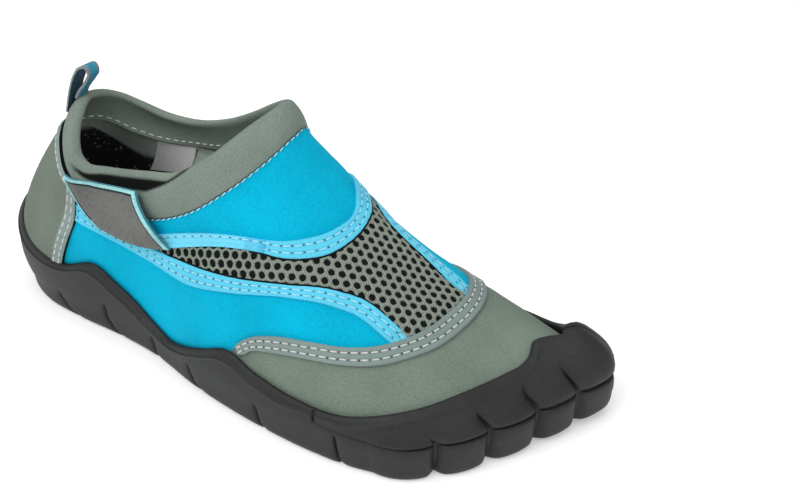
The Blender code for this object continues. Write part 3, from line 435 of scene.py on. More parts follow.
def tapeCloth(name, colour, pitch, rows, holeColour, fold=None):  # sewn tape with its needle holes
    paint, look = Paint(name, Roughness=0.6, Specular_IOR_Level=0.2), tapeLook
    u, v, _ = paint.split(paint.place("UV"))
    grain = paint.noise(look["grainScale"], 2.0)
    cloud = paint.noise(look["cloudScale"], 2.0)
    tone = paint.step(grain * 0.6 + cloud * 0.4, 0.35, 0.65)
    cloth = paint.mix(tone, varied(colour, 0.93), varied(colour, 1.06))
    if fold:  # painted shade at the folded end, darker towards it
        (start, end), (startSoft, endSoft) = fold, look["foldSoft"]
        foldShade = 0.4 * paint.step(u, start, start + startSoft) + 0.5 * paint.step(u, end - endSoft, end)
        cloth = paint.mix(foldShade, cloth, clothLook["foldShadeBlue"])
    gap = ((u / pitch).math("FRACT") - 0.5).math("ABSOLUTE")
    near, *others = [(v - row).math("ABSOLUTE") for row in rows]
    for other in others:
        near = near.math("MINIMUM", other)
    # painted shade in the needle holes and along the pressed stitch rows, some holes darker than others
    hole = paint.step(gap, *look["holeGap"]) * (1 - paint.step(near, *look["holeAway"]))
    pressedShade = 1 - paint.step(near, *look["pressedShadeAway"])
    holeTone = paint.step(paint.noise(look["holeToneScale"], 2.0), 0.3, 0.6)
    paint.put("Base Color", paint.mix(hole * (0.35 + 0.45 * holeTone) + pressedShade * 0.14, cloth, holeColour))
    paint.put("Roughness", 0.52 + 0.16 * grain)
    ribs = (v * look["ribs"]).math("SINE") * 0.15
    paint.put("Normal", paint.bump(grain * 0.7 + ribs, 0.0001, 0.6))
    return paint.material


def liningCloth(name):  # grey jersey at the top, black net below, which climbs at the heel; painted highlights glint on the net
    paint, look = Paint(name, Roughness=0.9), liningLook
    ahead, _, height = paint.split(paint.place())
    grain = paint.noise(look["grainScale"], 2.0)
    climb = ((look["heelX"] - ahead) * look["heelSteep"]).math("EXPONENT").math("MINIMUM", 1.0)
    wander = look["wander"] * (paint.noise(60.0) - 0.5)
    edge = paint.step(height - look["edgeZ"] - look["heelClimb"] * climb + wander, *look["edgeSoft"])
    dots = paint.node("ShaderNodeTexVoronoi", None, {"Vector": paint.place(), "Scale": look["netScale"]})
    glint = paint.step(paint.noise(150.0, 1.0), 0.5, 0.62) * (1 - paint.step(dots, 0.18, 0.34))
    black = paint.mix(glint, look["black"], look["glintGrey"])
    grey = paint.mix(paint.step(grain, 0.35, 0.65), varied(look["grey"], 0.85), varied(look["grey"], 1.1))
    paint.put("Base Color", paint.mix(edge, black, grey))
    paint.put("Roughness", 0.82 + 0.14 * grain)
    paint.put("Normal", paint.bump(grain, 0.00012, 0.5))
    return paint.material


rubberLook = {
    "colour": shade(32, 33, 33), "scuff": shade(92, 93, 91), "grainScale": 2200.0, "cloudScale": 38.0,
    "fineScale": 600.0, "mottleScale": 900.0, "speckScale": 700.0, "wearScale": 90.0,
}


def moulded(name, colour, scuff, rough):  # matt rubber from a blasted mould, with light scuffs
    paint, look = Paint(name, Specular_IOR_Level=0.35), rubberLook
    grain = paint.noise(look["grainScale"], 2.0)
    cloud = paint.noise(look["cloudScale"], 4.0, 0.6)
    specks = paint.step(paint.noise(look["speckScale"], 2.0, 0.7), 0.66, 0.76)
    wear = paint.step(paint.noise(look["wearScale"], 5.0, 0.7), 0.56, 0.74) * paint.step(cloud, 0.42, 0.62)
    mottle = paint.step(cloud * 0.5 + paint.noise(look["mottleScale"], 3.0, 0.7) * 0.5, 0.36, 0.64)
    body = paint.mix(mottle, varied(colour, 0.74), varied(colour, 1.24))
    paint.put("Base Color", paint.mix(wear * 0.22 + specks * 0.2, body, scuff))
    paint.put("Roughness", rough + 0.1 * wear + 0.12 * (cloud - 0.5))
    paint.put("Normal", paint.bump(grain + 0.5 * paint.noise(look["fineScale"], 2.0), 0.00009, 0.5))
    return paint.material


def twine(name, colour):
    paint = Paint(name, Roughness=0.6, Specular_IOR_Level=0.2)
    strand = paint.noise(2600.0, 1.0)
    paint.put("Base Color", paint.mix(paint.step(strand, 0.3, 0.7), varied(colour, 0.8), varied(colour, 1.1)))
    paint.put("Normal", paint.bump(strand, 0.0001, 0.6))
    return paint.material


webbingLook = {"weave": 5.2, "stripe": (1.5, 2.3), "ragged": 2.4}  # stripe: millimetres from the middle


def webbing(name, centre, edge):  # woven tape, striped lengthwise
    paint, look = Paint(name, Roughness=0.7, Specular_IOR_Level=0.2), webbingLook
    u, v, _ = paint.split(paint.place("UV"))
    ragged = look["ragged"] * (paint.noise(1.1, 3.0, 0.7, at=paint.place("UV")) - 0.5)
    colour = paint.mix(paint.step(v.math("ABSOLUTE") + ragged, *look["stripe"]), centre, edge)
    weave = (u * look["weave"]).math("SINE") * (v * look["weave"]).math("SINE")
    tone = paint.step(weave * 0.5 + paint.noise(900.0) * 0.6, 0.0, 0.7)
    paint.put("Base Color", paint.mix(tone, paint.mix(0.35, colour, (0.0, 0.0, 0.0, 1.0)), colour))
    paint.put("Normal", paint.bump(weave, 0.0002, 0.8))
    return paint.material


paints = {
    "blue": neoprene("blueNeoprene", clothLook["blue"]),
    "grey": neoprene("greyNeoprene", clothLook["grey"]),
    "toe": neoprene("toeNeoprene", clothLook["toeGrey"]),
    "collar": neoprene("collarCloth", clothLook["collarGrey"], gapShade=True),
    # black backing under the net, also used for the painted shadow strips beside the tapes
    "backingAndShadow": neoprene("netBackingAndShadow", clothLook["backingAndShadow"]),
    # near-black cloth put where gaps fall into shade: painted shade
    "gapShade": neoprene("gapShadeCloth", clothLook["gapShade"]),
    "yarn": netYarn("netYarn"),
    "lining": liningCloth("lining"),
    "rubber": moulded("soleRubber", rubberLook["colour"], rubberLook["scuff"], 0.56),
    "badge": moulded("badgeFace", shade(94, 95, 92), shade(124, 125, 122), 0.5),
    "rim": moulded("badgeRim", shade(146, 204, 208), shade(174, 216, 218), 0.45),
    # the rim's teal made darker: painted shade on the badge's walls and underside
    "rimShadedSide": moulded("badgeShadedSide", shade(58, 122, 134), shade(90, 150, 160), 0.5),
    # near black in the badge's groove: painted shade
    "groove": moulded("badgeGrooveShade", shade(30, 34, 35), shade(60, 62, 62), 0.6),
    "foam": neoprene("footbedCloth", shade(30, 31, 32)),
    "paleThread": twine("paleThread", shade(158, 222, 240)),
    "greyThread": twine("greyThread", shade(206, 210, 206)),
    # colour of the dark beads beside the collar seam: painted shadow
    "seamShadowBeads": twine("seamShadowBeads", shade(44, 66, 72)),
    "whiteThread": twine("whiteThread", shade(226, 228, 224)),
    "label": neoprene("labelCloth", shade(244, 245, 242)),
    "loop": webbing("loopWebbing", shade(62, 158, 194), shade(138, 152, 156)),
    # a darker copy of the loop's webbing: painted shade on its inner faces
    "loopInsideShade": webbing("loopInsideShade", shade(30, 84, 116), shade(62, 78, 86)),
}
print("paints:", len(paints))

# mesh work


def deselectAll():
    if bpy.context.mode != "OBJECT":
        bpy.ops.object.mode_set(mode="OBJECT")
    bpy.ops.object.select_all(action="DESELECT")


def pickOnly(piece):
    deselectAll()
    piece.select_set(True)
    bpy.context.view_layer.objects.active = piece


def inFrame(points):  # millimetres from the heel to metres in the frame
    return (points - rowOrigin) * milli


def laySheet(points, materials, faceNumbers=None, uv=None):  # a grid, its points laid on the form
    rows, count = points.shape[:2]
    deselectAll()
    bpy.ops.mesh.primitive_grid_add(x_subdivisions=count - 1, y_subdivisions=rows - 1, size=0.1)
    sheet = bpy.context.active_object
    mesh = sheet.data
    mesh.vertices.foreach_set("co", inFrame(points.reshape(-1, 3)).astype(np.float32).ravel())
    if uv is not None:
        corners = np.empty(len(mesh.loops), np.int32)
        mesh.loops.foreach_get("vertex_index", corners)
        mesh.uv_layers.active.data.foreach_set("uv", uv.reshape(-1, 2)[corners].astype(np.float32).ravel())
    for material in materials:
        mesh.materials.append(material)
    if faceNumbers is not None:
        mesh.polygons.foreach_set("material_index", faceNumbers.astype(np.int32).ravel())
    mesh.update()
    return sheet


def sewSheets(name, sheets, fill=False, degrees=40.0):
    deselectAll()
    for sheet in sheets:
        sheet.select_set(True)
    bpy.context.view_layer.objects.active = sheets[0]
    if len(sheets) > 1:
        bpy.ops.object.join()
    piece = bpy.context.active_object
    piece.name = piece.data.name = name
    bpy.ops.object.mode_set(mode="EDIT")
    bpy.ops.mesh.select_all(action="SELECT")
    bpy.ops.mesh.remove_doubles(threshold=4e-6)
    bpy.ops.mesh.dissolve_degenerate(threshold=1e-6)
    if fill:
        bpy.ops.mesh.select_all(action="SELECT")
        bpy.ops.mesh.fill_holes(sides=0)
    bpy.ops.mesh.select_all(action="SELECT")
    bpy.ops.mesh.normals_make_consistent(inside=False)
    bpy.ops.object.mode_set(mode="OBJECT")
    bpy.ops.object.shade_smooth_by_angle(angle=math.radians(degrees))
    return piece


def dress(piece, slot, *nodes):
    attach(piece, "root")
    if nodes:
        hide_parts(*nodes)
    print("piece:", piece.name, len(piece.data.polygons), "faces")
    return piece


def plateSheets(low, high, material, faceNumbers=None, materials=None, cutEdge=None):  # a closed plate
    rims = [np.stack([low[i], high[i]]) for i in (0, -1)]
    rims += [np.stack([low[:, i], high[:, i]]) for i in (0, -1)]
    faces = [laySheet(high, materials or [material], faceNumbers), laySheet(low, [material])]
    return faces + [laySheet(rim, [cutEdge or material]) for rim in rims]


def spanSheet(sides, ring, count):  # a sheet from one side's ring of points to the other's
    steps = np.linspace(0, 1, count)[None, :, None]
    return sides[0][:, ring][:, None] * (1 - steps) + sides[1][:, ring][:, None] * steps


# sewn lines on the upper, x y z and width in millimetres

tapeLines = {
    "lateralStrip": [
        (50, -31, 56, 7.7), (56, -31.4, 55, 7.7), (76.2, -32.1, 52, 7.3), (91.6, -32.6, 48.9, 6.6),
        (110.9, -35.3, 48.2, 8.4), (136, -37.3, 51.8, 6), (160, -34, 55.4, 4.6), (176.5, -28, 54.7, 6),
        (186.5, -24.1, 51.4, 6.7), (198.6, -23.6, 45, 6.8), (205, -23.4, 41.3, 6.8)],
    "medialStrip": [
        (50, 31, 56, 7.7), (56, 31.5, 55, 7.7), (80, 32.5, 52, 7.2), (105, 34, 53, 7), (130, 35.5, 57, 6.4),
        (148, 32.5, 61, 6), (161.5, 27, 63, 6), (173, 19.3, 63, 6.2), (184, 17.6, 57, 6.4),
        (194.7, 17.3, 51.3, 6.6), (205, 15.9, 46.6, 6.8), (212, 15.6, 43, 6.8)],
    "throatTrim": [
        (96, -32.2, 55.2, 5.6), (108, -32, 59.6, 5.6), (131.5, -30, 65.7, 4.8), (143, -28.1, 66.6, 4.8),
        (156.3, -25, 67.2, 6.8), (164.3, -18.2, 67.5, 8), (168.3, -8.1, 68.1, 7.3), (168.8, 3.5, 69.5, 6.2),
        (164.8, 14.4, 72.4, 7.4), (157, 23, 72, 7), (146, 28.8, 70, 5.4), (131, 31.8, 67, 5),
        (113, 33, 61.5, 5.4), (101, 32.8, 57, 5.4), (92, 32.6, 54, 5)],
    "toeBinding": [
        (144, -46, 30.2, 3.2), (145.5, -46, 31.2, 4.6), (149.6, -45.5, 34.4, 5), (161, -44.8, 38.4, 6.2),
        (174.7, -43.2, 40.2, 6.3), (188.4, -39.2, 40.3, 6.5), (197, -34.2, 40.4, 7),
        (205.5, -24.6, 40.8, 7.3), (210.2, -15.7, 41.1, 8), (213.6, -1.7, 42.1, 8.2), (214.1, 10.6, 42.7, 8),
        (211.1, 22.3, 42.6, 7.8), (204, 32, 39.5, 7.2), (193, 39, 36, 6.6), (180, 42.5, 32.5, 6),
        (168, 43, 29.5, 5.5)],
}
upperForm = {
    "finer": 3, "sewnIn": 0.45, "sewnReach": 4.5, "puff": 0.25, "puffReach": 9.0, "heelGap": (0.27, 0.93),
    "seamFade": 0.05, "toeFrom": 130.0, "netFrom": 88.0, "lineStep": 2.0,
    "ridge": (0.35, 1.8),  # beside a crease: share of its depth, half widths away
    "creases": [  # middle, direction, half length, half width, depth
        ((96, -36, 38), (1, 0, 0.1), 24, 8, 0.6), ((128, -42, 34), (1, 0, -0.2), 20, 6, 0.5),
        ((150, 4, 84), (0.1, 1, 0), 20, 5, 0.45), ((196, 2, 52), (0.2, 1, 0), 26, 6, 0.4),
        ((224, -22, 34), (0.4, 1, 0), 20, 8, 0.35), ((100, 36, 38), (1, 0, 0.1), 26, 8, 0.6)],
}


def creaseMove(places):  # soft hollows with a low ridge beside them, where the cloth gives
    move = np.zeros(len(places))
    ridgeUp, ridgeAway = upperForm["ridge"]
    for middle, direction, long, half, depth in upperForm["creases"]:
        gap, direction = places - np.array(middle, float), unit(np.array(direction, float))
        along = gap @ direction
        away = np.linalg.norm(gap - along[:, None] * direction, axis=1)
        ridge = ridgeUp * np.exp(-(((away - ridgeAway * half) / half) ** 2))
        move += depth * np.exp(-((along / long) ** 2)) * (ridge - np.exp(-((away / half) ** 2)))
    return move


def fineLine(rows, step):
    rows = np.array(rows, float)
    knots = chordKnots(rows[:, :3])
    return smoothAt(knots, rows, np.linspace(0, knots[-1], int(knots[-1] / step) + 2))


def besideLine(places, outs, rows):  # distance from a sewn line, and its side: above 0 on the left
    line = fineLine(rows, upperForm["lineStep"])[:, :3]
    along = unit(np.gradient(line, axis=0))
    away, sideOf = np.empty(len(places)), np.empty(len(places))
    batch = 4000
    for start in range(0, len(places), batch):
        part = slice(start, start + batch)
        gaps = places[part, None] - line[None]
        near = np.argmin(np.einsum("ijk,ijk->ij", gaps, gaps), axis=1)
        gap = gaps[np.arange(len(near)), near]
        away[part] = np.linalg.norm(gap, axis=1)
        sideOf[part] = np.einsum("ij,ij->i", np.cross(outs[part], along[near]), gap)
    return away, sideOf


def makeUpper():
    form, last = upperForm, len(netStations) - 1
    stations = np.interp(np.linspace(0, last, last * form["finer"] + 1), np.arange(last + 1), netStations)
    shares = np.linspace(0, 1, (riseCount - 1) * form["finer"] + 1)
    t, s = np.meshgrid(stations, shares, indexing="ij")
    outs = np.stack([unit(netAt(formOut, side, t, s)) for side in bothSides])
    outer = np.stack([netAt(formNet, side, t, s) for side in bothSides])
    flat, flatOut = outer.reshape(-1, 3), outs.reshape(-1, 3)
    beside = {name: besideLine(flat, flatOut, rows) for name, rows in tapeLines.items()}
    nearest = np.min([away for away, _ in beside.values()], axis=0)
    sink = form["sewnIn"] * np.exp(-((nearest / form["sewnReach"]) ** 2))
    rise = form["puff"] * np.exp(-(((nearest - form["puffReach"]) / form["sewnReach"]) ** 2))
    move = (rise - sink + creaseMove(flat)).reshape(2, *t.shape)
    atSeam = blendIn(1 - s, 0.0, form["seamFade"])
    outer = outer + (move * np.where(t > 1, 1.0, atSeam))[..., None] * outs
    inner = outer - lastForm["wall"] * outs
    crest = stations > 1 - small
    for shell in (outer, inner):
        shell[:, crest, -1] = shell[:, crest, -1].mean(axis=0)
        for end in (0, -1):
            shell[:, end] = shell[:, end].mean(axis=0)
    # which cloth each face is cut from; the gap one is painted shade
    cloths = ["blue", "backingAndShadow", "toe", "gapShade"]
    sideOf = {name: side.reshape(2, *t.shape) for name, (_, side) in beside.items()}
    aboveStrip = np.stack([sideOf["lateralStrip"][0] > 0, sideOf["medialStrip"][1] < 0])
    isToe = (sideOf["toeBinding"] < 0) & (outer[..., 0] > form["toeFrom"])
    isNet = aboveStrip & (sideOf["throatTrim"] < 0) & (outer[..., 0] > form["netFrom"])
    cloth = np.where(isNet, cloths.index("backingAndShadow"), cloths.index("blue"))
    cloth[isToe] = cloths.index("toe")
    # the strip under the heel panel's top edge is painted shade
    cloth[:, (t < form["heelGap"][0]) & (s > form["heelGap"][1])] = cloths.index("gapShade")
    rear = int(np.argmax(crest)) + 1
    sheets = []
    for out, within, numbers in zip(outer, inner, cloth):
        rims = [np.stack([out[:, 0], within[:, 0]]), np.stack([out[:rear, -1], within[:rear, -1]])]
        sheets.append(laySheet(out, [paints[name] for name in cloths], numbers[:-1, :-1]))
        sheets += [laySheet(sheet, [paints["lining"]]) for sheet in [within] + rims]
    piece = sewSheets("upperShell", sheets, degrees=60)
    # the tree that tapes and stitches are laid on
    count = len(shares)
    corner = (np.arange(len(stations) - 1)[:, None] * count + np.arange(count - 1)[None]).ravel()
    quads = np.stack([corner, corner + count, corner + count + 1, corner + 1], axis=1)
    quads = np.concatenate([quads, quads + len(stations) * count])
    tree = BVHTree.FromPolygons(outer.reshape(-1, 3).tolist(), quads.tolist())
    return dress(piece, "upper_neoprene", "upper"), tree, unit(flatOut[quads].mean(axis=1))


upperPiece, upperTree, upperFaceOut = makeUpper()


def seatOn(places, lift=0.0):  # nearest place on the upper's outside, lifted square to it
    flat = places.reshape(-1, 3)
    found = [upperTree.find_nearest(Vector(place)) for place in flat]
    outs = upperFaceOut[[hit[2] for hit in found]]
    lifts = np.broadcast_to(lift, places.shape[:-1]).reshape(-1, 1)
    seated = np.array([hit[0] for hit in found]) + lifts * outs
    return seated.reshape(places.shape), outs.reshape(places.shape)


# net of the vamp, a ring of yarn round each hole

netForm = {
    "pitch": 4.0, "hole": (1.36, 1.26), "round": 2.3, "turn": -25.0, "ringPoints": 12, "grow": 1.3,
    "heights": (-0.3, 0.2, 0.52, 0.62), "spread": (0.0, 0.0, 0.5, 1.0),  # of the yarn, from the hole outwards
    "uneven": 0.09, "unevenBelow": 0.5, "seed": 7, "overhang": 0.4,
    "rearMore": (0.25, 105.0, 170.0),  # wider holes at the rear: share, from x, to x
}


def flatVamp(piece):  # the vamp's faces laid flat, in millimetres, first axis along the shoe
    mesh = piece.data
    slotOf = [slot.material.name for slot in piece.material_slots].index("netBackingAndShadow")
    pickOnly(piece)
    bpy.context.tool_settings.mesh_select_mode = (False, False, True)
    bpy.ops.object.mode_set(mode="EDIT")
    bpy.ops.mesh.select_all(action="DESELECT")
    bpy.ops.object.mode_set(mode="OBJECT")
    for polygon in mesh.polygons:
        polygon.select = polygon.material_index == slotOf
    bpy.ops.object.mode_set(mode="EDIT")
    bpy.ops.uv.unwrap(method="ANGLE_BASED", margin=0.0)
    bpy.ops.object.mode_set(mode="OBJECT")
    faces = [p for p in mesh.polygons if p.material_index == slotOf]
    flat = np.array([mesh.uv_layers.active.data[i].uv for p in faces for i in p.loop_indices])
    place = np.array([mesh.vertices[i].co for p in faces for i in p.vertices]) / milli
    normal = np.array([mesh.vertices[i].normal for p in faces for i in p.vertices])
    sizes = [len(p.vertices) for p in faces]
    starts = np.concatenate([[0], np.cumsum(sizes)])[:-1]
    real = sum(np.linalg.norm(place[s] - place[s + 1]) for s in starts)
    drawn = sum(np.linalg.norm(flat[s] - flat[s + 1]) for s in starts)
    fit = np.linalg.lstsq(np.column_stack([flat, np.ones(len(flat))]), place[:, :2], rcond=None)[0]
    ahead = unit(fit[:2, 0])
    left = np.array([-ahead[1], ahead[0]])
    left = left if left @ fit[:2, 1] > 0 else -left
    flat = (flat - flat.mean(axis=0)) * (real / drawn)
    triangles = [(s, s + n, s + n + 1) for s, size in zip(starts, sizes) for n in range(1, size - 1)]
    return np.column_stack([flat @ ahead, flat @ left]), place, normal, triangles


def modelCell():  # one ring of yarn, four loops of points from the hole outwards
    form, grow = netForm, netForm["grow"]
    deselectAll()
    bpy.ops.mesh.primitive_circle_add(vertices=form["ringPoints"], radius=1.0)
    cell = bpy.context.active_object
    bpy.ops.object.mode_set(mode="EDIT")
    bpy.ops.mesh.select_all(action="SELECT")
    for _ in form["heights"][1:]:
        bpy.ops.mesh.extrude_edges_indiv()
        bpy.ops.transform.resize(value=(grow, grow, 1.0))
    bpy.ops.object.mode_set(mode="OBJECT")
    raw = np.array([v.co for v in cell.data.vertices])
    faces = [list(p.vertices) for p in cell.data.polygons]
    angle = np.arctan2(raw[:, 1], raw[:, 0])
    loop = np.rint(np.log(np.linalg.norm(raw[:, :2], axis=1)) / math.log(grow)).astype(int)
    (wide, tall), power, turn = form["hole"], form["round"], math.pi / 3
    hole = (np.abs(np.cos(angle)) / wide) ** power + (np.abs(np.sin(angle)) / tall) ** power
    hole = hole ** (-1 / power)
    border = form["pitch"] / 2 / np.cos(angle - np.rint(angle / turn) * turn)
    reach = hole + (border - hole) * np.array(form["spread"])[loop]
    height = np.array(form["heights"])[loop]
    return cell, np.column_stack([reach * np.cos(angle), reach * np.sin(angle), height]), faces


def makeNet():
    form = netForm
    flat, place, normal, triangles = flatVamp(upperPiece)
    tree = BVHTree.FromPolygons([(u, v, 0.0) for u, v in flat], triangles)
    cell, shape, cellFaces = modelCell()
    pitch, row = form["pitch"], form["pitch"] * math.sqrt(3) / 2
    turned = math.radians(form["turn"])
    grain = np.array([[math.cos(turned), math.sin(turned)], [-math.sin(turned), math.cos(turned)]])
    spread = flat @ grain.T
    low, high = spread.min(axis=0), spread.max(axis=0)
    shape = np.column_stack([shape[:, :2] @ grain, shape[:, 2]])
    inner = shape[:, 2] < form["unevenBelow"]
    more, rearX, frontX = form["rearMore"]
    wobble = np.random.default_rng(form["seed"])
    points, maps, faces = [], [], []

    def lift(x, y, height):  # from the flat net back onto the vamp
        hit, _, number, _ = tree.find_nearest(Vector((x, y, 0.0)))
        corner = triangles[number]
        flatCorner = [Vector((*flat[c], 0.0)) for c in corner]
        spot = barycentric_transform(hit, *flatCorner, *[Vector(place[c]) for c in corner])
        out = barycentric_transform(hit, *flatCorner, *[Vector(normal[c]) for c in corner]).normalized()
        return (spot + out * height) * milli

    for j in range(int((high[1] - low[1]) / row) + 2):
        for i in range(int((high[0] - low[0]) / pitch) + 2):
            centre = np.array([low[0] + (i + 0.5 * (j % 2)) * pitch, low[1] + j * row]) @ grain
            if tree.find_nearest(Vector((*centre, 0.0)), form["overhang"])[0] is None:
                continue
            base = len(points)
            number = tree.find_nearest(Vector((*centre, 0.0)))[2]
            ahead = place[triangles[number][0]][0] + rowOrigin[0]
            wider = more * (1 - blendIn(ahead, rearX, frontX))
            size = 1 + (wider + wobble.uniform(-1, 1, len(shape)) * form["uneven"]) * inner
            for (x, y), height in zip(centre + shape[:, :2] * size[:, None], shape[:, 2]):
                points.append(lift(x, y, height))
                maps.append((x, y))
            faces += [[base + n for n in face] for face in cellFaces]
    mesh = bpy.data.meshes.new("vampNet")
    mesh.from_pydata(points, [], faces)
    layer = mesh.uv_layers.new(name="map")
    corners = np.array([loop.vertex_index for loop in mesh.loops])
    layer.data.foreach_set("uv", np.array(maps)[corners].astype(np.float32).ravel())
    mesh.materials.append(paints["yarn"])
    cell.data = mesh
    print("net:", len(points) // len(shape), "holes")
    return dress(sewSheets("vampNet", [cell], degrees=70), "upper_neoprene")


makeNet()

# stitches

stitchForm = {
    "pitch": 4.2, "share": 0.78, "width": 0.7, "height": 0.55, "near": 0.3,
    "sides": 6, "rings": 5, "blunt": 0.7,
}


def atRun(at, run, values):
    return np.stack([np.interp(at, run, values[:, n]) for n in range(3)], axis=1)


def spaced(track, pitch):  # even places along a line, the directions there, the nearest of its points
    run, near = chordKnots(track), stitchForm["near"]
    at = np.arange(pitch / 2, run[-1], pitch)
    place = atRun(at, run, track)
    nearest = np.argmin(np.linalg.norm(place[:, None] - track[None], axis=2), axis=1)
    return place, unit(atRun(at + near, run, track) - atRun(at - near, run, track)), nearest


def stitchRow(track, outs, pitch, lift):
    place, ahead, nearest = spaced(track, pitch)
    return place + lift * outs[nearest], ahead, outs[nearest]


def sewStitches(name, runs, paint, slot, length, width=stitchForm["width"]):  # runs: places, aheads, outs
    form = stitchForm
    deselectAll()
    bpy.ops.mesh.primitive_uv_sphere_add(segments=form["sides"], ring_count=form["rings"], radius=1.0)
    piece = bpy.context.active_object
    bead = np.array([v.co for v in piece.data.vertices])
    bead[:, 2] = np.sign(bead[:, 2]) * np.abs(bead[:, 2]) ** form["blunt"]
    loops = [list(p.vertices) for p in piece.data.polygons]
    bead = bead * np.array([width, form["height"], length]) / 2
    points, faces = [], []
    for places, ahead, outs in runs:
        outs = unit(outs - np.sum(outs * ahead, axis=1, keepdims=True) * ahead)
        side = np.cross(outs, ahead)
        for n in range(len(places)):
            base = len(points) * len(bead)
            points.append(places[n] + bead @ np.stack([side[n], outs[n], ahead[n]]))
            faces += [[base + i for i in loop] for loop in loops]
    mesh = bpy.data.meshes.new(name)
    mesh.from_pydata(inFrame(np.concatenate(points)).tolist(), [], faces)
    piece.data = mesh
    piece.name = name
    mesh.materials.append(paint)
    pickOnly(piece)
    bpy.ops.object.shade_smooth()
    return dress(piece, slot)


# tapes

tapeForm = {
    "step": 1.1, "mapWide": 6.5,
    "section": [  # shares of width, thickness
        (-0.5, -0.5), (-0.5, 0.45), (-0.487, 0.78), (-0.455, 0.95), (-0.36, 1.0), (-0.25, 0.96),
        (-0.19, 0.84), (-0.13, 0.96), (0, 1.0), (0.13, 0.96), (0.19, 0.84), (0.25, 0.96), (0.36, 1.0),
        (0.455, 0.95), (0.487, 0.78), (0.5, 0.45), (0.5, -0.5), (-0.5, -0.5)],
    "double": (-0.19, 0.19), "single": (0.30,), "threadUp": 0.9,  # stitch rows, as shares of the width
    "strip": 1.2, "trim": 1.3, "trimRear": 1.6, "binding": 1.6, "bindingPitch": 3.7,
    "fold": (43.5, 53.0), "rearEnd": (147, -27.4, 66.7, 4.9), "frontStart": (140.5, -28.6, 66.4, 4.8),
    "fade": 9.0, "fadeDrop": 0.55,  # the strips thin out under the binding
    "edge": [(-0.7, -0.3), (-0.7, 0.75), (0.5, 0.75), (0.75, 0.5), (0.75, -0.3), (-0.7, -0.3)],
    "edgeFrom": (94.0, 104.0), "edgeFade": 1.6, "edgeSink": 0.4,  # black strip on the net side, painted shadow of the tape's edge
}


def tapeEdgeShadow(name, slot, line, middle, across, netSide, fade):
    form, run = tapeForm, chordKnots(middle)
    edge = np.array(form["edge"])
    reach = netSide * (line[:, 3:] / 2 + edge[:, 0])
    tall = blendIn(middle[:, 0], *form["edgeFrom"])
    if fade:
        tall = tall * (1 - blendIn(run, run[-1] - form["edgeFade"] * fade, run[-1] - fade))
    tall = tall[:, None]
    lift = edge[:, 1] * tall - form["edgeSink"] * (1 - tall)
    body, _ = seatOn(middle[:, None] + reach[:, :, None] * across[:, None], lift)
    # the strip takes the net backing's black: painted shadow where the tape meets the net
    dress(sewSheets(name, [laySheet(body, [paints["backingAndShadow"]])], fill=True), slot)


def makeTape(name, rows, cloth, thread, slot, nodes, thick, shares, pitch, fade=0.0, netSide=0):
    form = tapeForm
    line = fineLine(rows, form["step"])
    middle, outs = seatOn(line[:, :3])
    along = unit(np.gradient(middle, axis=0))
    across = unit(np.cross(outs, along))
    section = np.array(form["section"])
    run = chordKnots(middle)
    height = np.full(len(run), thick)
    if fade:
        height = thick * (1 - form["fadeDrop"] * blendIn(run, run[-1] - fade, run[-1] - fade / 2))
    places = middle[:, None] + (line[:, 3:] * section[:, 0])[:, :, None] * across[:, None]
    body, _ = seatOn(places, height[:, None] * section[:, 1][None])
    uv = np.stack(np.broadcast_arrays(run[:, None], section[:, 0] * form["mapWide"]), axis=2)
    piece = sewSheets(name, [laySheet(body, [cloth], None, uv)], fill=True, degrees=50)
    dress(piece, slot, *nodes)
    if netSide:
        tapeEdgeShadow(name + "Edge", slot, line, middle, across, netSide, fade)
    at = np.arange(pitch / 2, run[-1], pitch)
    spot, sideways = atRun(at, run, middle), atRun(at, run, across)
    wide, tall = np.interp(at, run, line[:, 3]), np.interp(at, run, height)
    runs = []
    for share in shares:
        seated, out = seatOn(spot + (wide * share)[:, None] * sideways, tall * form["threadUp"])
        runs.append((seated, unit(np.gradient(seated, axis=0)), out))
    sewStitches(name + "Stitches", runs, thread, slot, pitch * stitchForm["share"])
    return piece


def makeTapes():
    form, pitch, greyPitch = tapeForm, stitchForm["pitch"], tapeForm["bindingPitch"]
    double, single, fade = form["double"], form["single"], form["fade"]
    pairHoles, oneHole = ([share * form["mapWide"] for share in shares] for shares in (double, single))
    # colours of the painted shade in the needle holes
    blueHole, greyHole = shade(24, 84, 116), shade(36, 40, 38)
    pale = tapeCloth("paleTape", clothLook["paleBlue"], pitch, pairHoles, blueHole)
    satin = tapeCloth("satinTape", clothLook["satinBlue"], pitch, oneHole, blueHole, form["fold"])
    grey = tapeCloth("greyTape", clothLook["bindingGrey"], greyPitch, pairHoles, greyHole)
    blueSewn = paints["paleThread"], "pale_trim"
    greySewn = paints["greyThread"], "grey_neoprene"
    for name, node, netSide in (("lateralStrip", "lateral_strip", 1), ("medialStrip", "medial_strip", -1)):
        makeTape(name, tapeLines[name], pale, *blueSewn, [node], form["strip"], double, pitch, fade, netSide)
    throat = tapeLines["throatTrim"]
    rear, front = throat[:4] + [form["rearEnd"]], [form["frontStart"]] + throat[3:]
    makeTape("throatTrim", front, pale, *blueSewn, ["throat_trim"], form["trim"], double, pitch, netSide=-1)
    makeTape("throatTrimRear", rear, satin, *blueSewn, [], form["trimRear"], single, pitch)
    toe = tapeLines["toeBinding"]
    makeTape("toeBinding", toe, grey, *greySewn, ["toe_binding"], form["binding"], double, greyPitch)


makeTapes()

# rubber cup

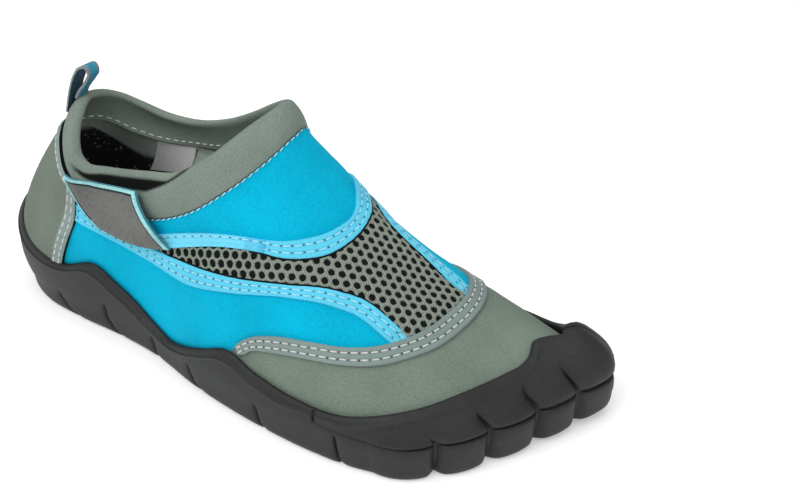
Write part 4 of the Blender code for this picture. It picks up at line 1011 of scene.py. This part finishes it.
soleForm = {
    "slits": [(46, 47, 13.2, -12), (72.3, 72, 15.2, -9.5), (93.9, 93, 11.8, -2.6), (124.2, 123, 14.2, -8),
              (158.2, 155, 12.8, -4), (185.6, 181, 0, -3.8), (193.8, 190, 15.6, -3.8)],
    # x at the floor on both sides, height, sweep; the one without height is the groove's hook
    "slitDepth": 2.1, "slitWide": 0.62, "slitCrisp": 0.8, "slitFade": 2.2, "slitFloor": 0.8, "slitOpen": 0.1,
    "treadDepth": 2.0, "treadFade": 2.5, "sweepZ": 9.0, "sweepEnd": 214.0,
    "notches": [(226.0, 0.32), (239.5, 0.85), (250.5, 1.0), (260.0, 0.75)],  # x, how far up the cap
    "notchDepth": 2.6, "fineWide": 0.55, "softWide": 2.2, "underFine": 0.1, "underSoft": 0.75,
    "cutReach": 3.0,
    "fineNotch": (0.15, 0.30, 0.55, 0.85), "softNotch": (0.75, -0.40, 0.3, 0.95),  # share, more above, fade
    "notchLean": 5.5, "leanStart": (196.0, 222.0), "leanUp": (0.0, 0.65), "leanBack": (0.76, 1.0),
    "lobe": 1.9, "lobePower": 0.8, "lobeFade": (0.1, 0.85), "firstLobe": 206.0, "lastLobe": 238.0,
    "toeFade": 0.12, "bigToe": (5.6, 2.12, 0.34),  # big toe: swell, station, reach
    "bigToeShare": [(0, 0), (0.1, 0.35), (0.45, 0.9), (0.72, 1.0), (0.94, 0.75), (1, 0.6)],
    "grooveZ": 14.5, "grooveDepth": 1.5, "grooveHighest": 0.45, "grooveSoft": 0.04,
    "hook": (185.6, 217.0, 2.7), "hookBefore": (25.0, 2.0), "hookEnd": (0.3, 0.6), "hookGroove": 0.55,
    "hookDepth": 1.5, "hookHighest": 0.72, "hookFade": (0.88, 1.0),
    "archOuter": -35.0, "archWide": 60.0, "thinnest": 1.35, "ribSteps": 60,
    "under": [(7.0, 0.0), (4.0, 0.0), (2.6, 0.0), (1.9, 0.15), (1.2, 0.6), (0.6, 1.4), (0.2, 2.6),
              (0.0, 4.0)],
    # inset and height, then shares of the way to the groove and on to the lip with the groove's depth
    "rim": [(0.1, 0), (0.4, 0), (0.7, 0), (0.88, 0), (0.93, 0.1), (0.965, 0.5), (1.0, 1.0)],
    "cap": [(0.03, 0.95), (0.055, 0.35), (0.09, 0.05), (0.16, 0), (0.24, 0), (0.32, 0), (0.40, 0), (0.48, 0),
            (0.56, 0), (0.64, 0), (0.72, 0), (0.80, 0), (0.88, 0), (0.94, 0), (1.0, 0)],
    "lip": [  # millimetres below the edge, push
        (5.2, 0), (4.5, 0.05), (4.15, 0.42), (3.85, 0.5), (3.55, 0.36), (3.25, -0.1), (2.9, -0.25),
        (1.8, -0.45), (0.9, -0.8), (0.3, -1.25), (0.0, -1.9), (0.15, -2.5)],
    "lipStart": 5.6, "lipOfEdge": 0.5, "lipOfCap": 0.8, "capLeast": 0.02, "lipInside": -1.5, "lipFloor": 0.6,
    "calmLean": (0.8, 4.0), "calmSwell": 1.5, "inside": (0.9, 0.5, 0.2, 0.0),
    "clusterHalf": 3.6, "clusterCount": 21, "clusterPower": 1.6, "roundStep": 1.3, "sideStep": 1.6,
    "across": 9,
}


def pace(side, station):  # millimetres of outline for one unit of station
    station = min(station, 2 - small)
    ends = outlineAt(side, np.array([station - small, station + small]), 0.0)[0]
    return np.linalg.norm(ends[1] - ends[0]) / (2 * small)


def soleMarks(side):
    form = soleForm
    slits = [stationAtX(side, row[side]) for row in form["slits"]]
    if side == lateral:
        return slits + [stationAtX(side, x) for x, _ in form["notches"]]
    return slits + list(np.linspace(stationAtX(side, form["lastLobe"]), 2.0, len(form["notches"]) + 2)[1:-1])


def soleColumns(side):  # stations, and the millimetres from the nearest slit or notch with its number
    form, half = soleForm, soleForm["clusterHalf"]
    marks, outer = soleMarks(side), soleMarks(lateral)
    lengths = np.diff([0.0] + [mark * pace(lateral, 0.5) for mark in outer + [2.0]])
    offsets = np.linspace(-1, 1, form["clusterCount"])
    offsets = np.sign(offsets) * np.abs(offsets) ** form["clusterPower"] * half
    stations, start = [np.array([0.0])], 0.0
    for number, mark in enumerate(marks + [2.0]):
        last = number == len(marks)
        speed = pace(side, mark)
        end = 2.0 if last else mark - half / speed
        step = form["sideStep"] if 0 < number < len(form["slits"]) else form["roundStep"]
        count = max(3, int(round((lengths[number] - 2 * half) / step)))
        stations.append(np.linspace(start, end, count + 1)[1:])
        if not last:
            stations.append(mark + offsets[1:] / speed)
            start = mark + half / speed
    stations = np.concatenate(stations)
    speeds = np.array([pace(side, mark) for mark in marks])
    gaps = (stations[:, None] - np.array(marks)[None]) * speeds[None]
    number = np.argmin(np.abs(gaps), axis=1)
    return stations, gaps[np.arange(len(stations)), number], number


def lobesAt(side, stations):
    places = stations if side == lateral else 4.0 - stations
    marks = [stationAtX(lateral, x) for x in [soleForm["firstLobe"]] + [x for x, _ in soleForm["notches"]]]
    marks.append(4.0 - stationAtX(medial, soleForm["lastLobe"]))
    rise = np.zeros(len(stations))
    for low, high in zip(marks[:-1], marks[1:]):
        rise += np.sin(np.pi * np.clip((places - low) / (high - low), 0, 1)) ** soleForm["lobePower"]
    return rise


def soleCuts(side, gap, number):  # slits and notches at each column, by its distance from the nearest
    form = soleForm
    slits = np.array(form["slits"])
    onSide, onToes = number < len(slits), (number >= len(slits)) & (side == lateral)
    top = slits[np.where(onSide, number, 0), 2]
    crisp, fine, soft = (np.exp(-((gap / form[wide]) ** 2)) for wide in ("slitWide", "fineWide", "softWide"))
    isSlit, isHook = onSide & (top > 0), onSide & (top == 0) & (side == lateral)
    slit = isSlit * (form["slitCrisp"] * crisp + (1 - form["slitCrisp"]) * soft)
    reach = np.array([1.0] * len(slits) + [up for _, up in form["notches"]])[number]
    return SimpleNamespace(slit=slit, tread=isSlit * crisp, top=top, fine=onToes * fine, soft=onToes * soft,
                           hook=isHook * fine, reach=reach)


def soleLevels(ribs, edge):  # groove and lip, as shares of the rib
    form, x = soleForm, ribs[:, 0, 0]
    lengths = np.linalg.norm(np.diff(ribs, axis=1), axis=2).sum(axis=1)
    start, end, rise = form["hook"]
    far, near = form["hookBefore"]
    climb = rise * (1 - blendIn(x, start, end)) * blendIn(x, start - far, start - near)
    heights, shares = form["grooveZ"] + climb + springAt(x), np.linspace(0, 1, ribs.shape[1])
    groove = np.array([np.interp(z, rib[:, 2], shares) for z, rib in zip(heights, ribs)])
    groove = np.minimum(groove, np.where(climb > 0, form["hookHighest"], form["grooveHighest"]) * edge)
    room = np.minimum(form["lipOfEdge"] * edge, form["lipOfCap"] * (edge - groove))
    # share of the rib for a millimetre of lip
    lipStep = np.minimum(1.0, room * lengths / form["lipStart"]) / lengths
    lipLow = np.maximum(edge - form["lipStart"] * lipStep, groove + form["capLeast"])
    return groove, lipStep, lipLow


def floorZ(xy):  # the underside rises at both ends and at the arch
    lift, place, half = lastForm["arch"]
    inner = np.clip((xy[:, 1] - soleForm["archOuter"]) / soleForm["archWide"], 0, 1)
    return springAt(xy[:, 0]) + lift * inner * hill(xy[:, 0], place, half)


def soleSide(side):  # rings of points from the floor up the wall, over the lip and down inside
    form, isOuter = soleForm, side == lateral
    stations, gap, number = soleColumns(side)
    cuts = soleCuts(side, gap, number)
    edge = rubberEdgeAt(side, stations)
    ribs = netAt(formNet, side, stations[:, None], np.linspace(0, 1, form["ribSteps"])[None])
    groove, lipStep, lipLow = soleLevels(ribs, edge)
    x = ribs[:, 0, 0]
    bulge = form["lobe"] * lobesAt(side, stations)
    toeRise, toeStation, toeReach = form["bigToe"]
    swell = toeRise * hill(stations if isOuter else 4.0 - stations, toeStation, toeReach)
    toeStart = stationAtX(side, form["firstLobe"] if isOuter else form["lastLobe"])
    grooved = np.clip((stations - toeStart) / form["toeFade"], 0, 1)
    hookX, (before, past) = form["hook"][0], form["hookEnd"]
    grooved = np.maximum(grooved, blendIn(x, hookX - before, hookX + past) * isOuter * form["hookGroove"])
    sweepKnots = [0.0] + soleMarks(side)[:len(form["slits"])] + [stationAtX(side, form["sweepEnd"])]
    sweeps = [0.0] + [row[3] for row in form["slits"]] + [0.0]
    sweep = smoothAt(sweepKnots, sweeps, np.clip(stations, 0.0, sweepKnots[-1]))
    speed, localSpeed = pace(side, 0.5), np.array([pace(side, t) for t in stations])
    lastNotch = stationAtX(lateral, form["notches"][-1][0])
    leaning = form["notchLean"] * blendIn(x, *form["leanStart"]) * isOuter
    leaning = leaning * (1 - blendIn(stations, lastNotch, 2.0))
    calmShare, calmLean = form["calmLean"]
    calm = np.maximum(calmShare * blendIn(leaning, 0.0, calmLean), blendIn(swell, 0.0, form["calmSwell"]))
    rings = []

    def swept(z):  # the slits run back as they climb
        return stations + sweep * (1 - (1 - np.clip(z / form["sweepZ"], 0, 1)) ** 2) / speed

    for inset, height in form["under"]:
        xy, out = outlineAt(side, swept(height), 0.0)
        notch = form["underFine"] * cuts.fine + form["underSoft"] * cuts.soft
        cut = (cuts.slit * form["slitDepth"] + notch * form["notchDepth"]) * (inset < form["cutReach"])
        xy = xy + (bulge - cut - inset)[:, None] * out
        tread = cuts.tread * form["treadDepth"] * (1 - blendIn(height, 0.0, form["treadFade"]))
        rings.append(np.column_stack([xy, floorZ(xy) + height + tread]))
    levels = [(groove * part, 0.0, depth, 1.0) for part, depth in form["rim"]]
    for part, depth in form["cap"]:
        levels.append((groove + part * (lipLow - groove), 0.0, depth, 1 - blendIn(part, *form["lobeFade"])))
    levels += [(edge - below * lipStep, push, 0.0, 0.0) for below, push in form["lip"]]
    for share, push, depth, lobe in levels:
        z = netAt(formNet, side, stations, share)[:, 2]
        stillOpen = np.clip((cuts.top - z) / form["slitFade"], 0, 1)
        part = np.clip((share - groove) / (lipLow - groove), 0, 1)  # of the way from the groove to the lip
        whole = np.clip((share - groove) / (edge - groove), 0, 1)  # and to the rubber's edge
        above = blendIn(part, 0.0, form["grooveSoft"])
        cut = form["slitDepth"] * cuts.slit * stillOpen
        for mark, (below, more, *fade) in ((cuts.fine, form["fineNotch"]), (cuts.soft, form["softNotch"])):
            fading = 1 - blendIn(part / cuts.reach, *fade)
            cut = cut + form["notchDepth"] * (below + more * above) * fading * mark
        hooked = cuts.hook * (share >= groove) * (1 - blendIn(whole, *form["hookFade"]))
        cut = cut + form["hookDepth"] * hooked
        pushed = push * (1 - calm) if push > 0 else push
        swollen = swell * tableAt(form["bigToeShare"], whole)
        sunk = form["grooveDepth"] * depth * grooved
        lift = lastForm["rubber"] + pushed - sunk + bulge * lobe + swollen - cut
        lean = leaning * blendIn(part, *form["leanUp"]) * (1 - blendIn(part, *form["leanBack"]))
        level = rubberEdgeAt(side, swept(z)) / edge
        least = form["thinnest"] if push > form["lipInside"] else form["lipFloor"]
        least = np.where(cuts.slit * stillOpen > form["slitOpen"], form["slitFloor"], least)
        rings.append(offForm(side, swept(z) - lean / localSpeed, share * level, np.maximum(lift, least)))
    there = swept(form["sweepZ"])
    for part in form["inside"]:
        rings.append(offForm(side, there, rubberEdgeAt(side, there) * part, lastForm["curvedGap"]))
    bed = rings[-1].copy()
    bed[:, 2] = lastForm["bedZ"] + springAt(bed[:, 0])
    return np.stack(rings + [bed], axis=1)


def makeSole():
    sides = [soleSide(side) for side in bothSides]
    flats = [spanSheet(sides, ring, soleForm["across"]) for ring in (0, -1)]
    sheets = [laySheet(sheet, [paints["rubber"]]) for sheet in sides + flats]
    return dress(sewSheets("cupSole", sheets, degrees=50), "sole_rubber", "outsole")


makeSole()

# footbed

footbedForm = {
    "edge": [(0.0, 0.0), (0.0, 2.3), (0.3, 2.75), (1.0, 3.0)], "clear": 0.7, "round": 181, "across": 13,
}  # edge: inset, height


def makeFootbed():
    form = footbedForm
    stations = np.linspace(0, 2, form["round"])
    sides = []
    for side in bothSides:
        rings = []
        for inset, height in form["edge"]:
            xy, _ = outlineAt(side, stations, lastForm["rubber"] + lastForm["wall"] + form["clear"] + inset)
            z = lastForm["bedZ"] + lastForm["seamGap"] + height + springAt(xy[:, 0])
            rings.append(np.column_stack([xy, z]))
        sides.append(np.stack(rings, axis=1))
    flats = [spanSheet(sides, ring, form["across"]) for ring in (0, -1)]
    piece = sewSheets("footbed", [laySheet(sheet, [paints["foam"]]) for sheet in sides + flats], degrees=50)
    return dress(piece, "footbed_foam", "insole")


makeFootbed()

# collar

collarForm = {
    "finer": 6, "outside": (-0.12, 0.86, 26), "round": 13, "inside": 14,  # outside: rise from, to, rings
    "hem": 0.10, "tuck": 0.02, "tuckDepths": (0.75, 0.45),
    "stitchRow": [(0, 0.17), (0.08, 0.165), (0.13, 0.085), (0.18, -0.05), (0.24, -0.075), (0.31, 0.035),
                  (0.41, 0.23), (0.51, 0.36), (0.7, 0.42), (1, 0.45)],  # station, rise of the row inside
    "stitchPitch": 3.9, "stitchLong": 2.6, "stitchUp": 0.1, "trackSteps": 400,
    "seamFrom": 0.50, "seamLow": (0.985, 0.3), "seamHigh": (0.04, -0.03), "seamOut": 0.98,
    "seamPitch": 3.1, "seamSlant": 0.28, "seamSize": (2.3, 0.65),
    # darkSize, darkUp, darkIn: the beads of painted shadow beside the seam
    "darkSize": (3.0, 0.6), "darkUp": 0.55, "darkIn": 0.1,
    "bandEdge": [(0.2, 0.35), (0.489, 0.56), (0.515, 0.575), (0.541, 0.63), (0.596, 0.745), (0.65, 0.86),
                 (0.679, 0.91), (0.723, 0.985)],  # station, rise of the front band's edge
    "goreIn": 2.3, "recessSoft": 1.1, "recessStart": (0.20, 0.255), "recessEnd": (0.66, 0.73), "recessShadeDepth": 0.3,
    "recessShade": (2.1, 2.2, 1.2), "darkRear": (0.2, 0.4),  # painted shade in the recess: below the top line, more at the rear, fade
    # edgeDark: painted shade just above the front band's edge, from the stations edgeDarkFrom on
    "edgeDark": (1.0, 2.2), "edgeDarkFrom": (0.24, 0.32),
}


def collarSection(hem):  # rise and depth round the band, up its outside, over the top and down to the hem
    form, ones = collarForm, np.ones(len(hem))
    low, shoulder, count = form["outside"]
    section = [(rise * ones, 0.0) for rise in np.linspace(low, shoulder, count)]
    for angle in np.linspace(0, math.pi, form["round"])[1:-1]:
        section.append(((shoulder + (1 - shoulder) * math.sin(angle)) * ones, 0.5 - 0.5 * math.cos(angle)))
    section += [(shoulder + (hem - shoulder) * part, 1.0) for part in np.linspace(0, 1, form["inside"])]
    return section + [(hem - form["tuck"], depth) for depth in form["tuckDepths"]] + section[:1]


def collarSide(side, stations, section):
    form, edges = collarForm, collarForm["bandEdge"]
    row = collarLoop.at(side, stations)
    tall = np.linalg.norm(row[:, 3:] - row[:, :3], axis=1)
    gapShade = blendIn(stations, *form["recessStart"]) * (1 - blendIn(stations, *form["recessEnd"]))
    gapShade = gapShade * (side == lateral)
    darkStart, darkMore, darkWide = form["recessShade"]
    darkStart = darkStart + darkMore * (1 - blendIn(stations, *form["darkRear"]))
    bandEdge = tableAt(edges, np.clip(stations, edges[0][0], edges[-1][0]))
    rings, maps = [], []
    for rise, depth in section:
        past = (rise - bandEdge) * tall  # millimetres above the front band's edge
        sunk = gapShade * blendIn(past, 0.0, form["recessSoft"])
        besideBand = (1 - blendIn(past, *form["edgeDark"])) * blendIn(stations, *form["edgeDarkFrom"])
        underTop = blendIn((1 - rise) * tall, darkStart, darkStart + darkWide)
        # painted shade in the recess, below the top line and beside the band's edge; the map carries it to
        # the cloth
        dark = sunk * np.maximum(underTop, besideBand) * (depth < form["recessShadeDepth"])
        hollow = (1 - depth) * sunk * form["goreIn"] / lastForm["collarThick"]
        rings.append(collarAt(side, stations, rise, depth + hollow))
        maps.append(np.column_stack([stations * 100, dark]))
    return laySheet(np.stack(rings, axis=1), [paints["collar"]], None, np.stack(maps, axis=1))


def makeCollar():
    form = collarForm
    stations = np.linspace(0, 1, rearCount * form["finer"] + 1)
    section = collarSection(tableAt(form["stitchRow"], stations) - form["hem"])
    piece = sewSheets("collarBand", [collarSide(side, stations, section) for side in bothSides], degrees=55)
    dress(piece, "grey_neoprene", "collar")
    # white row inside, pale flat seam where the band meets the tongue, and dark beads beside it as painted
    # shadow
    white, seam, dark = [], [], []
    for side in bothSides:
        t = np.linspace(0.0, 1.0, form["trackSteps"])
        rise = tableAt(form["stitchRow"], t)
        track = collarAt(side, t, rise, 1.0)
        inward = unit(collarAt(side, t, rise, 1.2) - track)
        white.append(stitchRow(track, inward, form["stitchPitch"], form["stitchUp"]))
        t = np.linspace(form["seamFrom"], 1.0, form["trackSteps"])
        low, high = offForm(side, t, *form["seamLow"]), collarAt(side, t, *form["seamHigh"])
        place, ahead, near = spaced((low + high) / 2, form["seamPitch"])
        up, outs = unit(high - low)[near], unit(netAt(formOut, side, t, form["seamOut"]))[near]
        seam.append((place, unit(ahead + form["seamSlant"] * up), outs))
        dark.append((place + form["darkUp"] * up - form["darkIn"] * outs, ahead, outs))
    sewStitches("collarInnerStitches", white, paints["whiteThread"], "grey_neoprene", form["stitchLong"])
    sewStitches("collarSeam", seam, paints["paleThread"], "pale_trim", *form["seamSize"])
    sewStitches("collarSeamShadow", dark, paints["seamShadowBeads"], "grey_neoprene", *form["darkSize"])
    return piece


makeCollar()

# heel panel

heelForm = {
    "front": [(-0.02, 0.287), (0.39, 0.281), (0.63, 0.280), (0.985, 0.262)],  # share up the panel, station
    "rows": 48, "columns": 120, "thick": 0.9, "thinEdge": 0.45, "roundEdge": 0.8, "seat": 0.05,
    "bindingWide": 6.2, "bindingUp": 0.45, "bindingSoft": 0.35, "bindingTop": 2.5,
    "frontStitches": (1.6, 4.6), "topStitches": 2.2, "stitchUp": 0.12,
}


def rowAt(runs, places, at):  # on each run of points, the place at one distance
    return np.array([[np.interp(at, run, line[:, n]) for n in range(3)] for run, line in zip(runs, places)])


def makeHeelPanel():
    form, wide, soft = heelForm, heelForm["bindingWide"], heelForm["bindingSoft"]
    shares = np.linspace(form["front"][0][0], form["front"][-1][0], form["rows"])
    t = np.linspace(-1, 1, form["columns"])[:, None] * tableAt(form["front"], shares)[None]
    edge = np.where(t > 0, *(rubberEdgeAt(side, np.abs(t)) for side in bothSides))
    s = edge + shares[None] * (1 - edge)
    base = netAt(formNet, lateral, t, s)
    along, up = runAlong(base, 0), runAlong(base, 1)
    fromFront, fromTop = np.minimum(along, along[-1:] - along), up[:, -1:] - up
    away = np.minimum(fromFront, fromTop + form["bindingTop"])
    binding = 1 - blendIn(away, wide - soft, wide + soft)
    rounded = np.sqrt(np.clip(np.minimum(fromFront, fromTop) / form["roundEdge"], 0, 1))
    thick = form["thick"] * (form["thinEdge"] + (1 - form["thinEdge"]) * rounded)
    low = offForm(lateral, t, s, form["seat"])
    high = offForm(lateral, t, s, lastForm["curvedGap"] + thick + form["bindingUp"] * binding)
    numbers = ((away[:-1, :-1] + away[1:, 1:]) / 2 < wide).astype(int)
    cloths = [paints["grey"], neoprene("heelBinding", clothLook["heelEdge"])]
    # the panel's cut edge is painted shade
    sheets = plateSheets(low, high, cloths[0], numbers, cloths, paints["gapShade"])
    piece = sewSheets("heelPanel", sheets, degrees=45)
    dress(piece, "grey_neoprene", "heel_panel")
    # two rows along each front edge and one along the top
    outs = unit(netAt(formOut, lateral, t, s))
    ends = [(along, high, outs[0]), ((along[-1:] - along)[::-1], high[::-1], outs[-1])]
    tracks = [(rowAt(run.T, places.transpose(1, 0, 2), inset), out) for run, places, out in ends
              for inset in form["frontStitches"]]
    tracks.append((rowAt(-fromTop, high, -form["topStitches"]), outs[:, -1]))
    pitch = stitchForm["pitch"]
    runs = [stitchRow(track, out, pitch, form["stitchUp"]) for track, out in tracks]
    sewStitches("heelPanelStitches", runs, paints["greyThread"], "grey_neoprene", pitch * stitchForm["share"])
    return piece


makeHeelPanel()

# badge on the outer side

badgeForm = {
    "low": [(0.365, 0.835), (0.61, 0.78)],  # station and share at the ends of its lower edge
    "top": [(0.234, 0.12, 2.2), (0.310, 0.48, 2.2), (0.379, 0.61, 2.2), (0.447, 0.67, 2.2),
            (0.506, 0.66, 2.2)],  # station, rise, lift
    "thick": 2.0, "bow": 3.0, "pullBack": 4.0, "overStrip": 0.9, "smoothOver": 19,
    "rimWide": 1.15, "rimSoft": (0.3, 0.1), "rimUp": 0.45, "lineWide": 0.95, "lineDeep": 0.35,
    "ribPitch": 1.6, "ribUp": 0.24, "thinEdge": 0.6, "roundEdge": 0.7, "columns": 160, "rows": 90,
}


def makeBadge():
    form, rimWide = badgeForm, badgeForm["rimWide"]
    along = np.linspace(0, 1, form["columns"])
    (t0, s0), (t1, s1) = form["low"]
    seat = 2 * lastForm["curvedGap"] + form["overStrip"]
    lowEdge = offForm(lateral, t0 + (t1 - t0) * along, s0 + (s1 - s0) * along, seat)
    topAt, rise, lift = smoothAt(np.linspace(0, 1, len(form["top"])), form["top"], along).T
    topEdge = collarAt(lateral, topAt, rise, -lift / lastForm["collarThick"])
    halfway = (lowEdge + topEdge) / 2
    count = form["smoothOver"]
    padded = np.pad(seatOn(halfway)[1], ((count // 2, count // 2), (0, 0)), mode="edge")
    even = np.ones(count) / count
    out = unit(np.stack([np.convolve(axis, even, mode="valid") for axis in padded.T], axis=1))
    bowed = halfway + form["bow"] * out
    bowed[:, 0] -= form["pullBack"] * along**3  # the front edge is hollow
    up = np.linspace(0, 1, form["rows"])[None, :, None]
    low = (1 - up) ** 2 * lowEdge[:, None] + 2 * up * (1 - up) * bowed[:, None] + up**2 * topEdge[:, None]
    wide, tall = runAlong(low, 0), runAlong(low, 1)
    fromSide, fromTop = np.minimum(wide, wide[-1:] - wide), tall[:, -1:] - tall
    away = np.minimum(fromSide, fromTop)
    rim = 1 - blendIn(away, rimWide - form["rimSoft"][0], rimWide + form["rimSoft"][1])
    line = hill(away, rimWide + form["lineWide"] / 2, form["lineWide"])
    rounded = np.sqrt(np.clip(np.minimum(away, tall) / form["roundEdge"], 0, 1))
    ribbed = form["ribUp"] * np.sin(wide * 2 * math.pi / form["ribPitch"]) * (fromTop < fromSide)
    height = form["thick"] * (form["thinEdge"] + (1 - form["thinEdge"]) * rounded)
    height = height + (form["rimUp"] + ribbed) * rim * rounded - form["lineDeep"] * line
    high = low + height[..., None] * out[:, None]
    cell = (away[:-1, :-1] + away[1:, 1:]) / 2
    numbers = np.where(cell < rimWide, 1, np.where(cell < rimWide + form["lineWide"], 2, 0))
    faces = [paints[name] for name in ("badge", "rim", "groove")]
    # walls and underside in the darker teal: painted shade
    sheets = plateSheets(low, high, paints["rimShadedSide"], numbers, faces)
    return dress(sewSheets("sideBadge", sheets, degrees=40), "badge_rubber", "side_patch")


makeBadge()

# pull loop

loopForm = {
    "line": [(24.4, 82.5, 7.2), (26.8, 89, 7.2), (29.4, 95, 7.2), (32.7, 100.6, 7.2), (36.4, 104.5, 7.2),
             (39.6, 105.3, 7), (40.8, 102.8, 6.4), (38.7, 99.6, 5.2), (35.9, 96.5, 4.6), (33.2, 93.6, 5.6),
             (31.2, 90.2, 6.8)],  # x, z, width
    "thick": 1.3, "y": 1.5, "steps": 80,
    "across": (-0.5, -0.46, -0.2, 0.0, 0.2, 0.46, 0.5), "edge": 0.3,  # shares of the width, of the thickness
}


def makeLoop():
    form, across = loopForm, loopForm["across"]
    lower = [(a, -form["edge"] if abs(a) == 0.5 else -0.5) for a in across]
    section = np.array(lower + [(a, -z) for a, z in lower[::-1]] + lower[:1])
    knots = chordKnots(np.array(form["line"])[:, :2])
    at = np.linspace(0, knots[-1], form["steps"])
    line = smoothAt(knots, form["line"], at)
    xz, wide = line[:, :2], line[:, 2:]
    along = unit(np.gradient(xz, axis=0))
    out = np.stack([-along[:, 1], along[:, 0]], axis=1)
    place = xz[:, None] + out[:, None] * (section[:, 1] * form["thick"])[None, :, None]
    y = form["y"] + section[:, 0] * wide
    body = np.stack([place[..., 0], y, place[..., 1]], axis=2)
    uv = np.stack(np.broadcast_arrays(at[:, None], section[:, 0] * wide), axis=2)
    # inner faces take the darker navy: painted shade
    inside = np.broadcast_to(section[:-1, 1] < 0, (form["steps"] - 1, len(section) - 1))
    sheet = laySheet(body, [paints["loop"], paints["loopInsideShade"]], inside, uv)
    return dress(sewSheets("pullLoop", [sheet], fill=True, degrees=45), "loop_webbing", "pull_loop")


makeLoop()

# label inside

labelForm = {
    "corners": [(0.25, 0.90), (0.40, 0.985), (0.367, 0.71), (0.235, 0.58)],  # station, share
    "seat": 0.05, "off": 0.35, "thick": 0.35, "count": 12,
}


def makeLabel():
    form = labelForm
    step = np.linspace(0, 1, form["count"])
    u, v = (grid[..., None] for grid in np.meshgrid(step, step, indexing="ij"))
    one, two, three, four = np.array(form["corners"])
    spot = (1 - u) * ((1 - v) * one + v * four) + u * ((1 - v) * two + v * three)
    lifts = (form["seat"], form["off"] + form["thick"])
    low, high = (offForm(medial, spot[..., 0], spot[..., 1], -lastForm["wall"] - lift) for lift in lifts)
    sheets = plateSheets(low, high, paints["label"])
    return dress(sewSheets("blankLabel", sheets, degrees=40), "grey_neoprene")


makeLabel()

# floor, light, camera

studioForm = {
    "target": (0.03928, 0.03446, 0.040), "back": (0.4265, -0.7311, 0.5326), "distance": 0.425, "lens": 46.14,
    "sensor": 36.0, "clip": (0.01, 50.0), "lightAim": (0.0, 0.0, 0.03),
    "world": 0.40, "white": (1.0, 1.0, 1.0, 1.0),
    "floor": 12.0, "floorGlow": 0.26, "floorTones": ((0.93, 0.93, 0.93, 1.0), (0.96, 0.96, 0.955, 1.0)),
    "lights": [("key", 6.9, (-0.25, -0.75, 0.95), 0.9), ("fill", 3.1, (0.9, -0.35, 0.7), 0.9),
               ("top", 5.3, (0.0, 0.15, 1.2), 1.3)],  # name, power, place, size
}


def aimed(direction):
    return direction.to_track_quat("-Z", "Y").to_euler()


def makeStudio():
    form, scene = studioForm, bpy.context.scene
    deselectAll()
    bpy.ops.mesh.primitive_plane_add(size=form["floor"])
    floor = bpy.context.active_object
    floor.name = "floor"
    white, glow = form["white"], form["floorGlow"]
    paint = Paint("paleFloor", Roughness=0.9, Emission_Color=white, Emission_Strength=glow)
    paint.put("Base Color", paint.mix(paint.noise(3.0), *form["floorTones"]))
    floor.data.materials.append(paint.material)
    scene.world = bpy.data.worlds.new("studio")
    scene.world.use_nodes = True
    background = scene.world.node_tree.nodes["Background"]
    background.inputs["Color"].default_value = white
    background.inputs["Strength"].default_value = form["world"]
    for name, power, spot, size in form["lights"]:
        bpy.ops.object.light_add(type="AREA", location=spot)
        light = bpy.context.active_object
        light.name = name + "Light"
        light.data.energy, light.data.size = power, size
        light.rotation_euler = aimed(Vector(form["lightAim"]) - Vector(spot))
    back = Vector(form["back"]).normalized()
    bpy.ops.object.camera_add(location=Vector(form["target"]) + back * form["distance"])
    camera = bpy.context.active_object
    camera.rotation_euler = aimed(-back)
    camera.data.sensor_width, camera.data.lens = form["sensor"], form["lens"]
    camera.data.clip_start, camera.data.clip_end = form["clip"]
    scene.camera = camera
    scene.view_settings.view_transform = "Standard"
    print("studio ready")


makeStudio()
